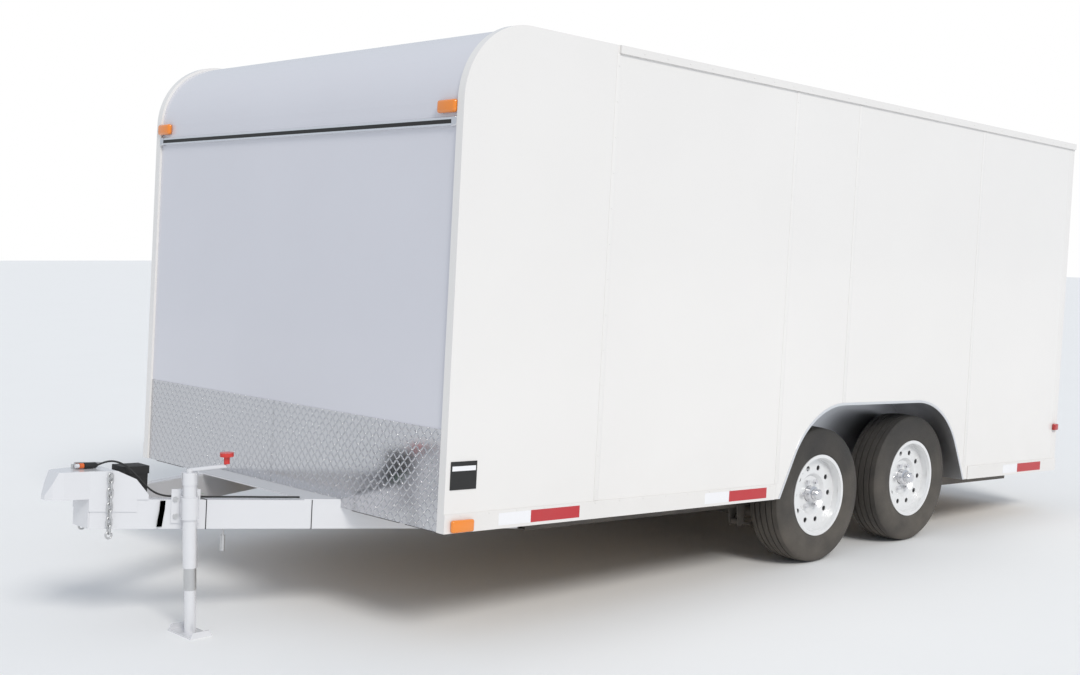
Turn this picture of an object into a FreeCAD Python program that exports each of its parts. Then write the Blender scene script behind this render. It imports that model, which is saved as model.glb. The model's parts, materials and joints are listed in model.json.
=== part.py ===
import FreeCAD, Part

import math
import os

from FreeCAD import Vector

# Tandem-axle enclosed cargo trailer, parked nose up on its tongue jack.
#
# Every piece is drawn in the trailer's own level frame, in millimetres: X forward with 0 at the
# front of the body, Y to the left with 0 on the centre line, Z up with 0 at the body's lower edge.
# main() then leans the whole trailer nose up, stands it on the ground and centres it along X.

# ---- stance -----------------------------------------------------------------------------------
LEAN_DEG = 2.8               # nose-up lean of the body on its jack
AXLE_PAIR_X = -2940.0        # middle of the two axles
AXLE_SPACING = 840.0
MEAN_AXLE_Z = 5.0            # mean height of the two wheel centres

# ---- body shell -------------------------------------------------------------------------------
BODY_L = 4877.0
BODY_W = 2400.0
BODY_H = 2007.0
WALL_T = 40.0                # whole wall: skin, posts and lining
NOSE_R = 330.0               # rounded upper front corner of the side walls
NOSE_INSET = 12.0            # front and roof skins lie this far inside the side walls' edge
FLOOR_TOP = 54.0
FLOOR_T = 19.0
POST_X = 50.0                # rear frame, length along the body
POST_Y = 100.0               # rear corner post, width across the body
HEADER_H = 150.0
SILL_TRIM_H = 75.0           # raised strip along the foot of the side walls
SILL_TRIM_T = 6.0
SILL_TRIM_END = 48.0         # distance from the arch corner to the strip's end
SHEET_SEAMS = (-837.0, -2086.0, -2608.0, -3814.0)
SEAM_GAP = 0.6
ROOF_TRIM_H = 35.0
ROOF_TRIM_T = 10.0
GUARD_H = 401.0              # polished stone guard across the front
GUARD_T = 3.0
GUARD_JOINT_Y = -36.0
GUARD_JOINT = 1.2
BELT_Z = 1580.0              # moulding across the front
BELT_H = 32.0
BELT_T = 12.0

# ---- wheel arch -------------------------------------------------------------------------------
ARCH_R = 447.6               # corner radius, and so the height of the arch
ARCH_FRONT_X = -2620.0       # centre of the front corner arc
ARCH_REAR_X = -3300.0
ARCH_LEG_DEG = 27.0          # the arc runs down to this angle above level, then a straight leg
WHEEL_BOX_T = 4.0
ARCH_TRIM_W = 13.0
ARCH_TRIM_T = 3.0

# ---- chassis ----------------------------------------------------------------------------------
RAIL_OUT_Y = 900.0           # outer face of the main rails
RAIL_W = 50.0
RAIL_BOTTOM = -90.0
TUBE_WALL = 4.0
CROSS_W = 50.0
CROSS_H = 50.0
CROSS_PITCH = 406.0
TONGUE_HALF_DEG = 25.8
TONGUE_TIP_X = 907.0         # front end of the tongue rails
TONGUE_TIP_Y = 66.0          # outer face of a tongue rail at that end
TONGUE_TOP = 30.0
NOSE_PLATE_T = 6.0
TRAY_X = (628.0, 762.0)      # tray for the battery box, between the tongue rails
TRAY_T = 6.0
TOP_PLATE_X = (-8.0, 130.0)  # plate over the tongue ahead of the body
TOP_PLATE_T = 5.0

# ---- doors ------------------------------------------------------------------------------------
DOOR_GAP = 6.0
RAMP_T = 45.0
RAMP_AXIS_OUT = 9.0          # hinge axis outside the ramp's outer face
SIDE_DOOR_FRONT_X = -920.0
SIDE_DOOR_W = 820.0
SIDE_DOOR_Z = (80.0, 1750.0)
SIDE_AXIS_OUT = 9.0
KNUCKLE_R = 7.0
PIN_R = 3.5
PIN_PLAY = 0.3
LEAF_T = 4.0
KNUCKLE_L = 40.0
KNUCKLE_GAP = 1.0

# ---- wheels and axles -------------------------------------------------------------------------
TYRE_R = 345.0
TYRE_W = 205.0
WHEEL_Y = 1053.0             # middle plane of a tyre
BEAD_R = 190.5
BEAD_Y = 78.0
FLANGE_R = 207.0
RIM_HALF = 92.0
RIM_WALL = 6.0
DISC_Y = 25.0                # back face of the wheel disc, outward from the middle plane
DISC_T = 5.0
DISC_HOLES = 10
DISC_HOLE_R = 13.5
DISC_HOLE_AT = 138.0
CENTRE_HOLE_R = 42.0
STUDS = 6
STUD_AT = 69.85
DRUM_R = 127.0
SPINDLE_R = 20.0
SPINDLE_PLAY = 0.3
HUB_CAP_R = 29.0
HUB_CAP_END = 96.0
BEAM_R = 30.0
AXLE_DROP = 150.0            # wheel centre above the axle beam
DROP_ARM_Y = (908.0, 938.0)

# ---- springs ----------------------------------------------------------------------------------
SPRING_W = 45.0
LEAF_THICK = 8.0
SPRING_SPAN = 640.0          # between the two eyes of a spring
EYE_R = 15.0
SPRING_PIN_R = 7.0
HANGER_DROP = 75.0           # rail bottom down to the eye
HANGER_T = 4.0
EQUALIZER_HALF_H = 20.0

# ---- coupler ----------------------------------------------------------------------------------
COUPLER_TIP_X = 1068.0
COUPLER_TOP = 145.0
COUPLER_REAR_X = 700.0
COUPLER_T = 6.0
BALL_X = 1008.0
BALL_BORE_R = 29.7           # for a ball of 58.74 mm
BALL_BORE_L = 34.0

# ---- jack -------------------------------------------------------------------------------------
JACK_X = 577.0
JACK_Y = 288.0
JACK_TUBE_R = 29.0
JACK_TUBE_BORE = 26.0
JACK_TUBE_Z = (-240.0, 101.0)
JACK_CAP_R = 32.0
JACK_CAP_TOP = 152.0
JACK_SLEEVE_R = 25.5
JACK_TRAVEL = 240.0
JACK_SLEEVE_LOW = -330.0
JACK_LEG_R = 24.0
JACK_FOOT_T = 6.0
JACK_FOOT_L = 180.0
JACK_FOOT_W = 100.0
JACK_FOOT_LIP = 26.0
CRANK_TURN_DEG = 136.6       # plan direction of the crank arm
CRANK_REACH = 150.0
KNOB_R = 28.0

# ---- loose and hung pieces --------------------------------------------------------------------
CHAIN_WIRE_R = 4.0
CHAIN_INNER = 30.0           # clear length inside a link
CHAIN_PLAY = 0.5
CHAIN_X = 842.0
CHAIN_TOP = 118.0            # middle of the first link
CHAIN_LINKS = 8
HOOK_R = 13.0
CABLE_R = 4.0
CABLE_ROUTE = ((842.0, 0.0, 156.4), (806.0, 6.0, 172.0), (772.0, 34.0, 172.0), (744.0, 80.0, 152.0),
               (716.0, 122.0, 110.0), (684.0, 148.0, 66.0), (640.0, 164.0, 42.0), (580.0, 190.0, 38.0),
               (520.0, 226.0, 39.0), (440.0, 262.0, 38.0), (340.0, 312.0, 39.0), (240.0, 358.0, 38.0),
               (134.0, 412.0, 39.0))

REAR_X = -BODY_L
HALF_W = BODY_W / 2.0
WALL_IN = HALF_W - WALL_T
FLOOR_BOTTOM = FLOOR_TOP - FLOOR_T
RAIL_IN_Y = RAIL_OUT_Y - RAIL_W
WALL_REAR = REAR_X + POST_X
FRONT_OUT = -NOSE_INSET
FRONT_IN = FRONT_OUT - WALL_T
ROOF_OUT = BODY_H - NOSE_INSET
ROOF_IN = ROOF_OUT - WALL_T
NOSE_Z = BODY_H - NOSE_R
LEAN = math.radians(LEAN_DEG)
TONGUE_SLOPE = math.tan(math.radians(TONGUE_HALF_DEG))
# Ground height under the trailer's own origin, measured along the level frame's lean.
RISE = TYRE_R - MEAN_AXLE_Z * math.cos(LEAN) - AXLE_PAIR_X * math.sin(LEAN)


# ---- small geometry helpers -------------------------------------------------------------------
def box(x_range, y_range, z_range):
    """A block between two values along each axis."""
    size = [high - low for low, high in (x_range, y_range, z_range)]
    return Part.makeBox(*size, Vector(x_range[0], y_range[0], z_range[0]))


def rod(radius, start, end):
    """A round bar between two points."""
    along = Vector(*end).sub(Vector(*start))
    return Part.makeCylinder(radius, along.Length, Vector(*start), along)


def hexagon_bar(radius, start, end):
    """A six-sided bar between two points, measured to its corners."""
    along = Vector(*end).sub(Vector(*start))
    turns = [Vector(radius * math.cos(k * math.pi / 3), radius * math.sin(k * math.pi / 3), 0)
             for k in range(7)]
    face = Part.Face(Part.makePolygon(turns))
    face.Placement = FreeCAD.Placement(Vector(*start), FreeCAD.Rotation(Vector(0, 0, 1), along))
    return face.extrude(along)


def plate_xz(points, y_range):
    """A flat plate with a polygon outline in X and Z, thick along Y."""
    corners = [Vector(x, y_range[0], z) for x, z in points]
    face = Part.Face(Part.makePolygon(corners + corners[:1]))
    return face.extrude(Vector(0, y_range[1] - y_range[0], 0))


def plate_xy(points, z_range):
    """A flat plate with a polygon outline in X and Y, thick along Z."""
    corners = [Vector(x, y, z_range[0]) for x, y in points]
    face = Part.Face(Part.makePolygon(corners + corners[:1]))
    return face.extrude(Vector(0, 0, z_range[1] - z_range[0]))


def arc(centre, radius, start_deg, end_deg, y):
    """An arc edge in the XZ plane, angles counted from +X towards +Z."""
    def at(deg):
        turn = math.radians(deg)
        return Vector(centre[0] + radius * math.cos(turn), y, centre[1] + radius * math.sin(turn))
    return Part.Arc(at(start_deg), at((start_deg + end_deg) / 2.0), at(end_deg)).toShape()


def line(start, end):
    """A straight edge between two vectors."""
    return Part.LineSegment(start, end).toShape()


def joined_edges(parts):
    """Arcs and gaps between them, closed by straight edges into one wire."""
    edges = []
    for index, edge in enumerate(parts):
        edges.append(edge)
        following = parts[(index + 1) % len(parts)]
        end = edge.Vertexes[-1].Point
        start = following.Vertexes[0].Point
        if end.distanceToPoint(start) > 1e-6:
            edges.append(line(end, start))
    return Part.Wire(edges)


def mirrored(shape):
    """The same piece on the other side of the centre line."""
    return shape.mirror(Vector(0, 0, 0), Vector(0, 1, 0))


def both_sides(shape):
    """A piece and its mirror image, as two solids that do not touch."""
    return Part.makeCompound([shape, mirrored(shape)])


def plumb(shape, x, y):
    """Stands a piece drawn about its own vertical axis upright on the leaning tongue."""
    turned = shape.copy()
    upright = FreeCAD.Rotation(Vector(0, 1, 0), LEAN_DEG)
    turned.Placement = FreeCAD.Placement(Vector(x, y, 0), upright)
    return turned


def on_ground(shape):
    """Leans the trailer nose up and stands it on the ground."""
    stood = shape.copy()
    lean = FreeCAD.Rotation(Vector(0, 1, 0), -LEAN_DEG)
    stood.Placement = FreeCAD.Placement(Vector(0, 0, RISE), lean).multiply(stood.Placement)
    return stood


def axle_z(x):
    """Height of a wheel centre, from the level ground under the leaning body."""
    return (TYRE_R - RISE - x * math.sin(LEAN)) / math.cos(LEAN)


AXLE_X = (AXLE_PAIR_X + AXLE_SPACING / 2.0, AXLE_PAIR_X - AXLE_SPACING / 2.0)


# ---- body shell -------------------------------------------------------------------------------
def arch_body(grow, foot_z, y_range):
    """The wheel arch's outline, grown outward, as a solid between two values of Y."""
    radius = ARCH_R + grow
    leg = math.radians(ARCH_LEG_DEG)
    reach = (radius - foot_z * math.sin(leg)) / math.cos(leg)
    front_foot = Vector(ARCH_FRONT_X + reach, y_range[0], foot_z)
    rear_foot = Vector(ARCH_REAR_X - reach, y_range[0], foot_z)
    front = arc((ARCH_FRONT_X, 0.0), radius, ARCH_LEG_DEG, 90.0, y_range[0])
    rear = arc((ARCH_REAR_X, 0.0), radius, 90.0, 180.0 - ARCH_LEG_DEG, y_range[0])
    foot = line(rear_foot, front_foot)
    face = Part.Face(joined_edges([foot, front, rear]))
    return face.extrude(Vector(0, y_range[1] - y_range[0], 0))


def side_profile(y_range):
    """A plain side wall with its rounded upper front corner."""
    corner = arc((-NOSE_R, NOSE_Z), NOSE_R, 0.0, 90.0, y_range[0])
    rear = line(Vector(WALL_REAR, y_range[0], BODY_H), Vector(WALL_REAR, y_range[0], 0))
    face = Part.Face(joined_edges([corner, rear, line(Vector(WALL_REAR, y_range[0], 0),
                                                      Vector(0, y_range[0], 0))]))
    return face.extrude(Vector(0, y_range[1] - y_range[0], 0))


def side_wall_left():
    """Wall panels that meet at the sheet seams, with the wheel arch cut out."""
    wall = side_profile((WALL_IN, HALF_W))
    wall = wall.cut(arch_body(WHEEL_BOX_T, -1.0, (WALL_IN - 1.0, HALF_W + 1.0)))
    for seam in SHEET_SEAMS:
        wall = wall.cut(box((seam - SEAM_GAP / 2.0, seam + SEAM_GAP / 2.0), (WALL_IN - 1.0, HALF_W + 1.0),
                            (-1.0, BODY_H + 1.0)))
    return wall


def around_tongue(shape):
    """Notches a piece where the tongue rails pass through it."""
    return shape.cut(tongue_rail()).cut(mirrored(tongue_rail()))


def side_door_hole():
    """The doorway in the right wall."""
    x_range = (SIDE_DOOR_FRONT_X - SIDE_DOOR_W, SIDE_DOOR_FRONT_X)
    return box(x_range, (-HALF_W - 1.0, -WALL_IN + 1.0), SIDE_DOOR_Z)


def side_wall_right():
    return mirrored(side_wall_left()).cut(side_door_hole())


def nose_ring(outer, inner):
    """A quarter ring across the body between the two side walls."""
    y = -WALL_IN
    centre = (-NOSE_R, NOSE_Z)
    face = Part.Face(joined_edges([arc(centre, outer, 0.0, 90.0, y), arc(centre, inner, 90.0, 0.0, y)]))
    return face.extrude(Vector(0, 2.0 * WALL_IN, 0))


def front_wall():
    return around_tongue(box((FRONT_IN, FRONT_OUT), (-WALL_IN, WALL_IN), (0.0, NOSE_Z)))


def nose_curve():
    return nose_ring(NOSE_R - NOSE_INSET, NOSE_R - NOSE_INSET - WALL_T)


def roof():
    return box((WALL_REAR, -NOSE_R), (-WALL_IN, WALL_IN), (ROOF_IN, ROOF_OUT))


def floor():
    deck = box((WALL_REAR, FRONT_IN), (-WALL_IN, WALL_IN), (FLOOR_BOTTOM, FLOOR_TOP))
    well = arch_body(WHEEL_BOX_T, -1.0, (RAIL_OUT_Y, WALL_IN + 1.0))
    return deck.cut(well).cut(mirrored(well))


def wheel_boxes():
    """Sheet liners over the wheels, closed towards the cargo space."""
    shell = arch_body(WHEEL_BOX_T, 0.0, (RAIL_OUT_Y, HALF_W))
    hollow = arch_body(0.0, -1.0, (RAIL_OUT_Y + WHEEL_BOX_T, HALF_W + 1.0))
    below_floor = arch_body(0.0, -1.0, (RAIL_OUT_Y - 1.0, HALF_W + 1.0)).common(
        box((WALL_REAR, 0.0), (RAIL_OUT_Y - 1.0, HALF_W + 1.0), (-1.0, FLOOR_BOTTOM)))
    return both_sides(shell.cut(hollow).cut(below_floor))


def arch_trims():
    """Bright edging on the side walls around the arches."""
    ring = arch_body(ARCH_TRIM_W, 0.0, (HALF_W, HALF_W + ARCH_TRIM_T))
    return both_sides(ring.cut(arch_body(0.0, -1.0, (HALF_W - 1.0, HALF_W + ARCH_TRIM_T + 1.0))))


def bottom_rails():
    """Raised strips along the foot of the side walls, broken at the arches."""
    leg = math.cos(math.radians(ARCH_LEG_DEG))
    front_end = ARCH_FRONT_X + ARCH_R / leg + SILL_TRIM_END
    rear_end = ARCH_REAR_X - ARCH_R / leg - SILL_TRIM_END
    y_range = (HALF_W, HALF_W + SILL_TRIM_T)
    front = box((front_end, 0.0), y_range, (0.0, SILL_TRIM_H))
    rear = box((REAR_X, rear_end), y_range, (0.0, SILL_TRIM_H))
    return Part.makeCompound([front, rear, mirrored(front), mirrored(rear)])


def roof_edge_trims():
    y_range = (HALF_W, HALF_W + ROOF_TRIM_T)
    return both_sides(box((REAR_X, SHEET_SEAMS[0]), y_range, (BODY_H - ROOF_TRIM_H, BODY_H)))


def stone_guard():
    """Two polished sheets across the foot of the front wall."""
    x_range = (FRONT_OUT, FRONT_OUT + GUARD_T)
    left = box(x_range, (GUARD_JOINT_Y + GUARD_JOINT / 2.0, WALL_IN), (0.0, GUARD_H))
    right = box(x_range, (-WALL_IN, GUARD_JOINT_Y - GUARD_JOINT / 2.0), (0.0, GUARD_H))
    return Part.makeCompound([around_tongue(left), around_tongue(right)])


def front_moulding():
    return box((FRONT_OUT, FRONT_OUT + BELT_T), (-WALL_IN, WALL_IN), (BELT_Z, BELT_Z + BELT_H))


def rear_frame():
    """Corner posts and header around the rear opening."""
    x_range = (REAR_X, WALL_REAR)
    post = box(x_range, (HALF_W - POST_Y, HALF_W), (FLOOR_TOP, BODY_H))
    header = box(x_range, (-HALF_W, HALF_W), (BODY_H - HEADER_H, BODY_H))
    return post.fuse(mirrored(post)).fuse(header).removeSplitter()


def rear_sill():
    return box((REAR_X, WALL_REAR), (-HALF_W, HALF_W), (0.0, FLOOR_TOP))


# ---- chassis ----------------------------------------------------------------------------------
def main_rails():
    """Two box tubes under the floor, from the front cross member to the rear sill."""
    x_range = (WALL_REAR, FRONT_IN)
    outer = box(x_range, (RAIL_IN_Y, RAIL_OUT_Y), (RAIL_BOTTOM, FLOOR_BOTTOM))
    inner = box(x_range, (RAIL_IN_Y + TUBE_WALL, RAIL_OUT_Y - TUBE_WALL),
                (RAIL_BOTTOM + TUBE_WALL, FLOOR_BOTTOM - TUBE_WALL))
    shallow = box((main_rail_front(), 0.0), (RAIL_IN_Y - 1.0, RAIL_OUT_Y + 1.0),
                  (RAIL_BOTTOM - 1.0, FLOOR_BOTTOM - CROSS_H))
    return both_sides(outer.cut(inner).cut(shallow))


def main_rail_front():
    """Where the tongue rails meet the main rails, and these become full depth."""
    return TONGUE_TIP_X - (RAIL_IN_Y - TONGUE_TIP_Y) / TONGUE_SLOPE


def tongue_edge(x, inset):
    """Half width of the tongue at x, measured to a line inside a rail's outer face."""
    skew = inset / math.cos(math.radians(TONGUE_HALF_DEG))
    return TONGUE_TIP_Y + (TONGUE_TIP_X - x) * TONGUE_SLOPE - skew


def tongue_rail_outline(inset):
    """Outline of the left tongue rail in plan, cut square across at its front end."""
    front = TONGUE_TIP_X - NOSE_PLATE_T
    rear = main_rail_front()
    far = rear - RAIL_W / math.sin(math.radians(TONGUE_HALF_DEG))
    return [(front, tongue_edge(front, inset)), (rear, tongue_edge(rear, inset)),
            (far, tongue_edge(far, RAIL_W - inset)), (front, tongue_edge(front, RAIL_W - inset))]


def tongue_rail():
    """Left rail of the tongue, meeting the main rail's inner face."""
    outer = plate_xy(tongue_rail_outline(0.0), (RAIL_BOTTOM, TONGUE_TOP))
    left_half = box((-2000.0, TONGUE_TIP_X), (0.4, RAIL_IN_Y), (RAIL_BOTTOM - 1.0, TONGUE_TOP + 1.0))
    return outer.common(left_half)


def tongue_rails():
    return both_sides(tongue_rail())


def tongue_plates():
    """Nose plate, battery tray and top plate, each between or over the tongue rails."""
    nose_half = tongue_edge(TONGUE_TIP_X, 0.0)
    nose = box((TONGUE_TIP_X - NOSE_PLATE_T, TONGUE_TIP_X), (-nose_half, nose_half),
               (RAIL_BOTTOM, TONGUE_TOP))
    rear, front = TRAY_X
    tray_line = [(front, tongue_edge(front, RAIL_W)), (rear, tongue_edge(rear, RAIL_W))]
    tray = plate_xy(tray_line + [(x, -y) for x, y in reversed(tray_line)], (-TRAY_T, 0.0))
    rear, front = TOP_PLATE_X
    top_line = [(front, tongue_edge(front, 0.0)), (rear, tongue_edge(rear, 0.0))]
    top = plate_xy(top_line + [(x, -y) for x, y in reversed(top_line)],
                   (TONGUE_TOP, TONGUE_TOP + TOP_PLATE_T))
    return Part.makeCompound([nose, tray, top])


def cross_members():
    """Cross tubes under the floor, with short outriggers to the side walls."""
    z_range = (FLOOR_BOTTOM - CROSS_H, FLOOR_BOTTOM)
    arch_half = ARCH_R / math.cos(math.radians(ARCH_LEG_DEG)) + WHEEL_BOX_T
    clear = (ARCH_REAR_X - arch_half, ARCH_FRONT_X + arch_half)
    pieces = []
    count = int((WALL_REAR + CROSS_PITCH - FRONT_IN) / -CROSS_PITCH) + 1
    for index in range(count):
        x_range = (FRONT_IN - CROSS_W - index * CROSS_PITCH, FRONT_IN - index * CROSS_PITCH)
        bar = box(x_range, (-RAIL_IN_Y, RAIL_IN_Y), z_range)
        bar = bar.cut(box((x_range[0] - 1.0, x_range[1] + 1.0), (-RAIL_IN_Y - 1.0, RAIL_IN_Y + 1.0),
                          (z_range[0] + TUBE_WALL, z_range[1] - TUBE_WALL)).common(
            box((x_range[0] + TUBE_WALL, x_range[1] - TUBE_WALL), (-RAIL_IN_Y - 1.0, RAIL_IN_Y + 1.0), z_range)))
        pieces += around_tongue(bar).Solids
        if x_range[1] < clear[0] or x_range[0] > clear[1]:
            outrigger = box(x_range, (RAIL_OUT_Y, WALL_IN), z_range)
            pieces += [outrigger, mirrored(outrigger)]
    return Part.makeCompound(pieces)


# ---- doors ------------------------------------------------------------------------------------
RAMP_AXIS = (REAR_X - RAMP_AXIS_OUT, FLOOR_TOP + DOOR_GAP / 2.0)
SIDE_AXIS = (SIDE_DOOR_FRONT_X - DOOR_GAP / 2.0, -HALF_W - SIDE_AXIS_OUT)
RAMP_HINGE_Y = (-900.0, -300.0, 300.0, 900.0)
SIDE_HINGE_Z = (260.0, 915.0, 1570.0)


def ramp_knuckle(y_range, bore):
    """One knuckle of a ramp hinge."""
    x, z = RAMP_AXIS
    body = rod(KNUCKLE_R, (x, y_range[0], z), (x, y_range[1], z))
    return body.cut(rod(bore, (x, y_range[0] - 1, z), (x, y_range[1] + 1, z))) if bore else body


def ramp_hinge_leaf(y_range, z_range):
    return box((REAR_X - LEAF_T, REAR_X), y_range, z_range)


def ramp_hinges():
    """The sill's side of the ramp hinges: two knuckles, pin and leaf at each station."""
    hinges = []
    x, z = RAMP_AXIS
    for y in RAMP_HINGE_Y:
        hinge = rod(PIN_R, (x, y - 1.5 * KNUCKLE_L, z), (x, y + 1.5 * KNUCKLE_L, z))
        for side in (-1.0, 1.0):
            centre = y + side * KNUCKLE_L
            y_range = (centre - KNUCKLE_L / 2.0, centre + KNUCKLE_L / 2.0)
            hinge = hinge.fuse(ramp_knuckle(y_range, 0.0))
            hinge = hinge.fuse(ramp_hinge_leaf(y_range, (z - 42.0, z - 3.5)))
            hinge = hinge.fuse(box((x, REAR_X), y_range, (z - 6.9, z - 3.5)))
        hinges.append(hinge.removeSplitter())
    return Part.makeCompound(hinges)


def rear_ramp_door():
    """The ramp's panel with its middle knuckles."""
    half = HALF_W - POST_Y - DOOR_GAP
    panel = box((REAR_X, REAR_X + RAMP_T), (-half, half),
                (FLOOR_TOP + DOOR_GAP, BODY_H - HEADER_H - DOOR_GAP))
    x, z = RAMP_AXIS
    for y in RAMP_HINGE_Y:
        y_range = (y - KNUCKLE_L / 2.0 + KNUCKLE_GAP, y + KNUCKLE_L / 2.0 - KNUCKLE_GAP)
        leaf = ramp_hinge_leaf(y_range, (z + 3.5, z + 60.0))
        arm = box((x, REAR_X), y_range, (z + 3.5, z + 6.9))
        knuckle = ramp_knuckle(y_range, 0.0).fuse(leaf).fuse(arm)
        bore = rod(PIN_R + PIN_PLAY, (x, y_range[0] - 1, z), (x, y_range[1] + 1, z))
        panel = panel.fuse(knuckle.cut(bore))
    return panel.removeSplitter()


BAR_LOCK_Y = 960.0
BAR_LOCK_R = 11.0
BAR_LOCK_OUT = 26.0


def ramp_bar_locks():
    """Two lock bars down the ramp's outer face, each with brackets and a lever handle."""
    low = FLOOR_TOP + DOOR_GAP + 70.0
    high = BODY_H - HEADER_H - DOOR_GAP - 12.0
    x = REAR_X - BAR_LOCK_OUT
    bar = rod(BAR_LOCK_R, (x, BAR_LOCK_Y, low), (x, BAR_LOCK_Y, high))
    for z in (low + 60.0, 760.0, 1130.0, high - 60.0):
        bracket = box((x - 14.0, REAR_X), (BAR_LOCK_Y - 30.0, BAR_LOCK_Y + 30.0), (z, z + 40.0))
        bar = bar.fuse(bracket)
    lever = box((x - 20.0, x - 8.0), (BAR_LOCK_Y - 330.0, BAR_LOCK_Y), (930.0, 960.0))
    return both_sides(bar.fuse(lever).removeSplitter())


def bar_lock_keepers():
    """Keepers on the header above each lock bar."""
    z = BODY_H - HEADER_H
    return both_sides(box((REAR_X - 34.0, REAR_X), (BAR_LOCK_Y - 22.0, BAR_LOCK_Y + 22.0),
                          (z + 6.0, z + 46.0)))


def side_knuckle(z_range, radius):
    x, y = SIDE_AXIS
    return rod(radius, (x, y, z_range[0]), (x, y, z_range[1]))


def side_hinge_leaf(x_range, z_range):
    return box(x_range, (-HALF_W - LEAF_T, -HALF_W), z_range)


def side_hinges():
    """The jamb's side of the entry door's hinges."""
    hinges = []
    x, y = SIDE_AXIS
    for z in SIDE_HINGE_Z:
        hinge = side_knuckle((z - 1.5 * KNUCKLE_L, z + 1.5 * KNUCKLE_L), PIN_R)
        for side in (-1.0, 1.0):
            centre = z + side * KNUCKLE_L
            z_range = (centre - KNUCKLE_L / 2.0, centre + KNUCKLE_L / 2.0)
            hinge = hinge.fuse(side_knuckle(z_range, KNUCKLE_R))
            hinge = hinge.fuse(side_hinge_leaf((x + 3.5, x + 60.0), z_range))
            hinge = hinge.fuse(box((x + 3.5, x + 6.9), (y, -HALF_W), z_range))
        hinges.append(hinge.removeSplitter())
    return Part.makeCompound(hinges)


def side_door():
    """The entry door's panel with its middle knuckles."""
    x_range = (SIDE_DOOR_FRONT_X - SIDE_DOOR_W + DOOR_GAP, SIDE_DOOR_FRONT_X - DOOR_GAP)
    panel = box(x_range, (-HALF_W, -WALL_IN), (SIDE_DOOR_Z[0] + DOOR_GAP, SIDE_DOOR_Z[1] - DOOR_GAP))
    x, y = SIDE_AXIS
    for z in SIDE_HINGE_Z:
        z_range = (z - KNUCKLE_L / 2.0 + KNUCKLE_GAP, z + KNUCKLE_L / 2.0 - KNUCKLE_GAP)
        leaf = side_hinge_leaf((x - 90.0, x - 3.5), z_range)
        arm = box((x - 6.9, x - 3.5), (y, -HALF_W), z_range)
        knuckle = side_knuckle(z_range, KNUCKLE_R).fuse(leaf).fuse(arm)
        bore = side_knuckle((z_range[0] - 1, z_range[1] + 1), PIN_R + PIN_PLAY)
        panel = panel.fuse(knuckle.cut(bore))
    return panel.removeSplitter()


def side_door_handle():
    """A flush paddle latch near the door's rear edge."""
    x = SIDE_DOOR_FRONT_X - SIDE_DOOR_W + 45.0
    plate = box((x, x + 120.0), (-HALF_W - 4.0, -HALF_W), (820.0, 920.0))
    paddle = box((x + 20.0, x + 100.0), (-HALF_W - 16.0, -HALF_W - 4.0), (850.0, 895.0))
    return plate.fuse(paddle).removeSplitter()


# ---- wheels -----------------------------------------------------------------------------------
def lathe(segments):
    """Turns a closed outline of edges, drawn as (radius, y), about the Y axis."""
    return Part.Face(Part.Wire(segments)).revolve(Vector(0, 0, 0), Vector(0, 1, 0), 360.0)


def radial(points):
    """Straight edges through (radius, y) points, closed."""
    corners = [Vector(r, y, 0.0) for r, y in points]
    return [line(a, b) for a, b in zip(corners, corners[1:] + corners[:1])]


def radial_arc(start, middle, end):
    return Part.Arc(*[Vector(r, y, 0.0) for r, y in (start, middle, end)]).toShape()


def radial_line(start, end):
    return line(Vector(*start, 0.0), Vector(*end, 0.0))


def tyre_shape():
    """A tyre about its own centre: tread, rounded side walls, beads and the hollow inside."""
    half = TYRE_W / 2.0
    bulge = (BEAD_R + TYRE_R) / 2.0 - 4.0
    shoulder = TYRE_R - 17.0
    tread = TYRE_R - 6.0
    tread_half = half - 20.0
    bead_in = BEAD_Y - 14.0
    wall = 9.0

    def side(sign):
        outer = radial_arc((BEAD_R, sign * BEAD_Y), (bulge, sign * half),
                           (shoulder, sign * (half - 8.0)))
        inner = radial_arc((BEAD_R, sign * bead_in), (bulge, sign * (half - wall)),
                           (shoulder - 6.0, sign * (half - wall - 12.0)))
        return outer, inner
    outer_l, inner_l = side(1.0)
    outer_r, inner_r = side(-1.0)
    edges = [
        outer_l,
        radial_line((shoulder, half - 8.0), (tread, tread_half)),
        radial_arc((tread, tread_half), (TYRE_R, 0.0), (tread, -tread_half)),
        radial_line((tread, -tread_half), (shoulder, 8.0 - half)),
        outer_r,
        radial_line((BEAD_R, -BEAD_Y), (BEAD_R, -bead_in)),
        inner_r,
        radial_arc((shoulder - 6.0, wall + 12.0 - half), (TYRE_R - 14.0, 0.0),
                   (shoulder - 6.0, half - wall - 12.0)),
        inner_l,
        radial_line((BEAD_R, bead_in), (BEAD_R, BEAD_Y)),
    ]
    return lathe(Part.__sortEdges__(edges))


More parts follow.
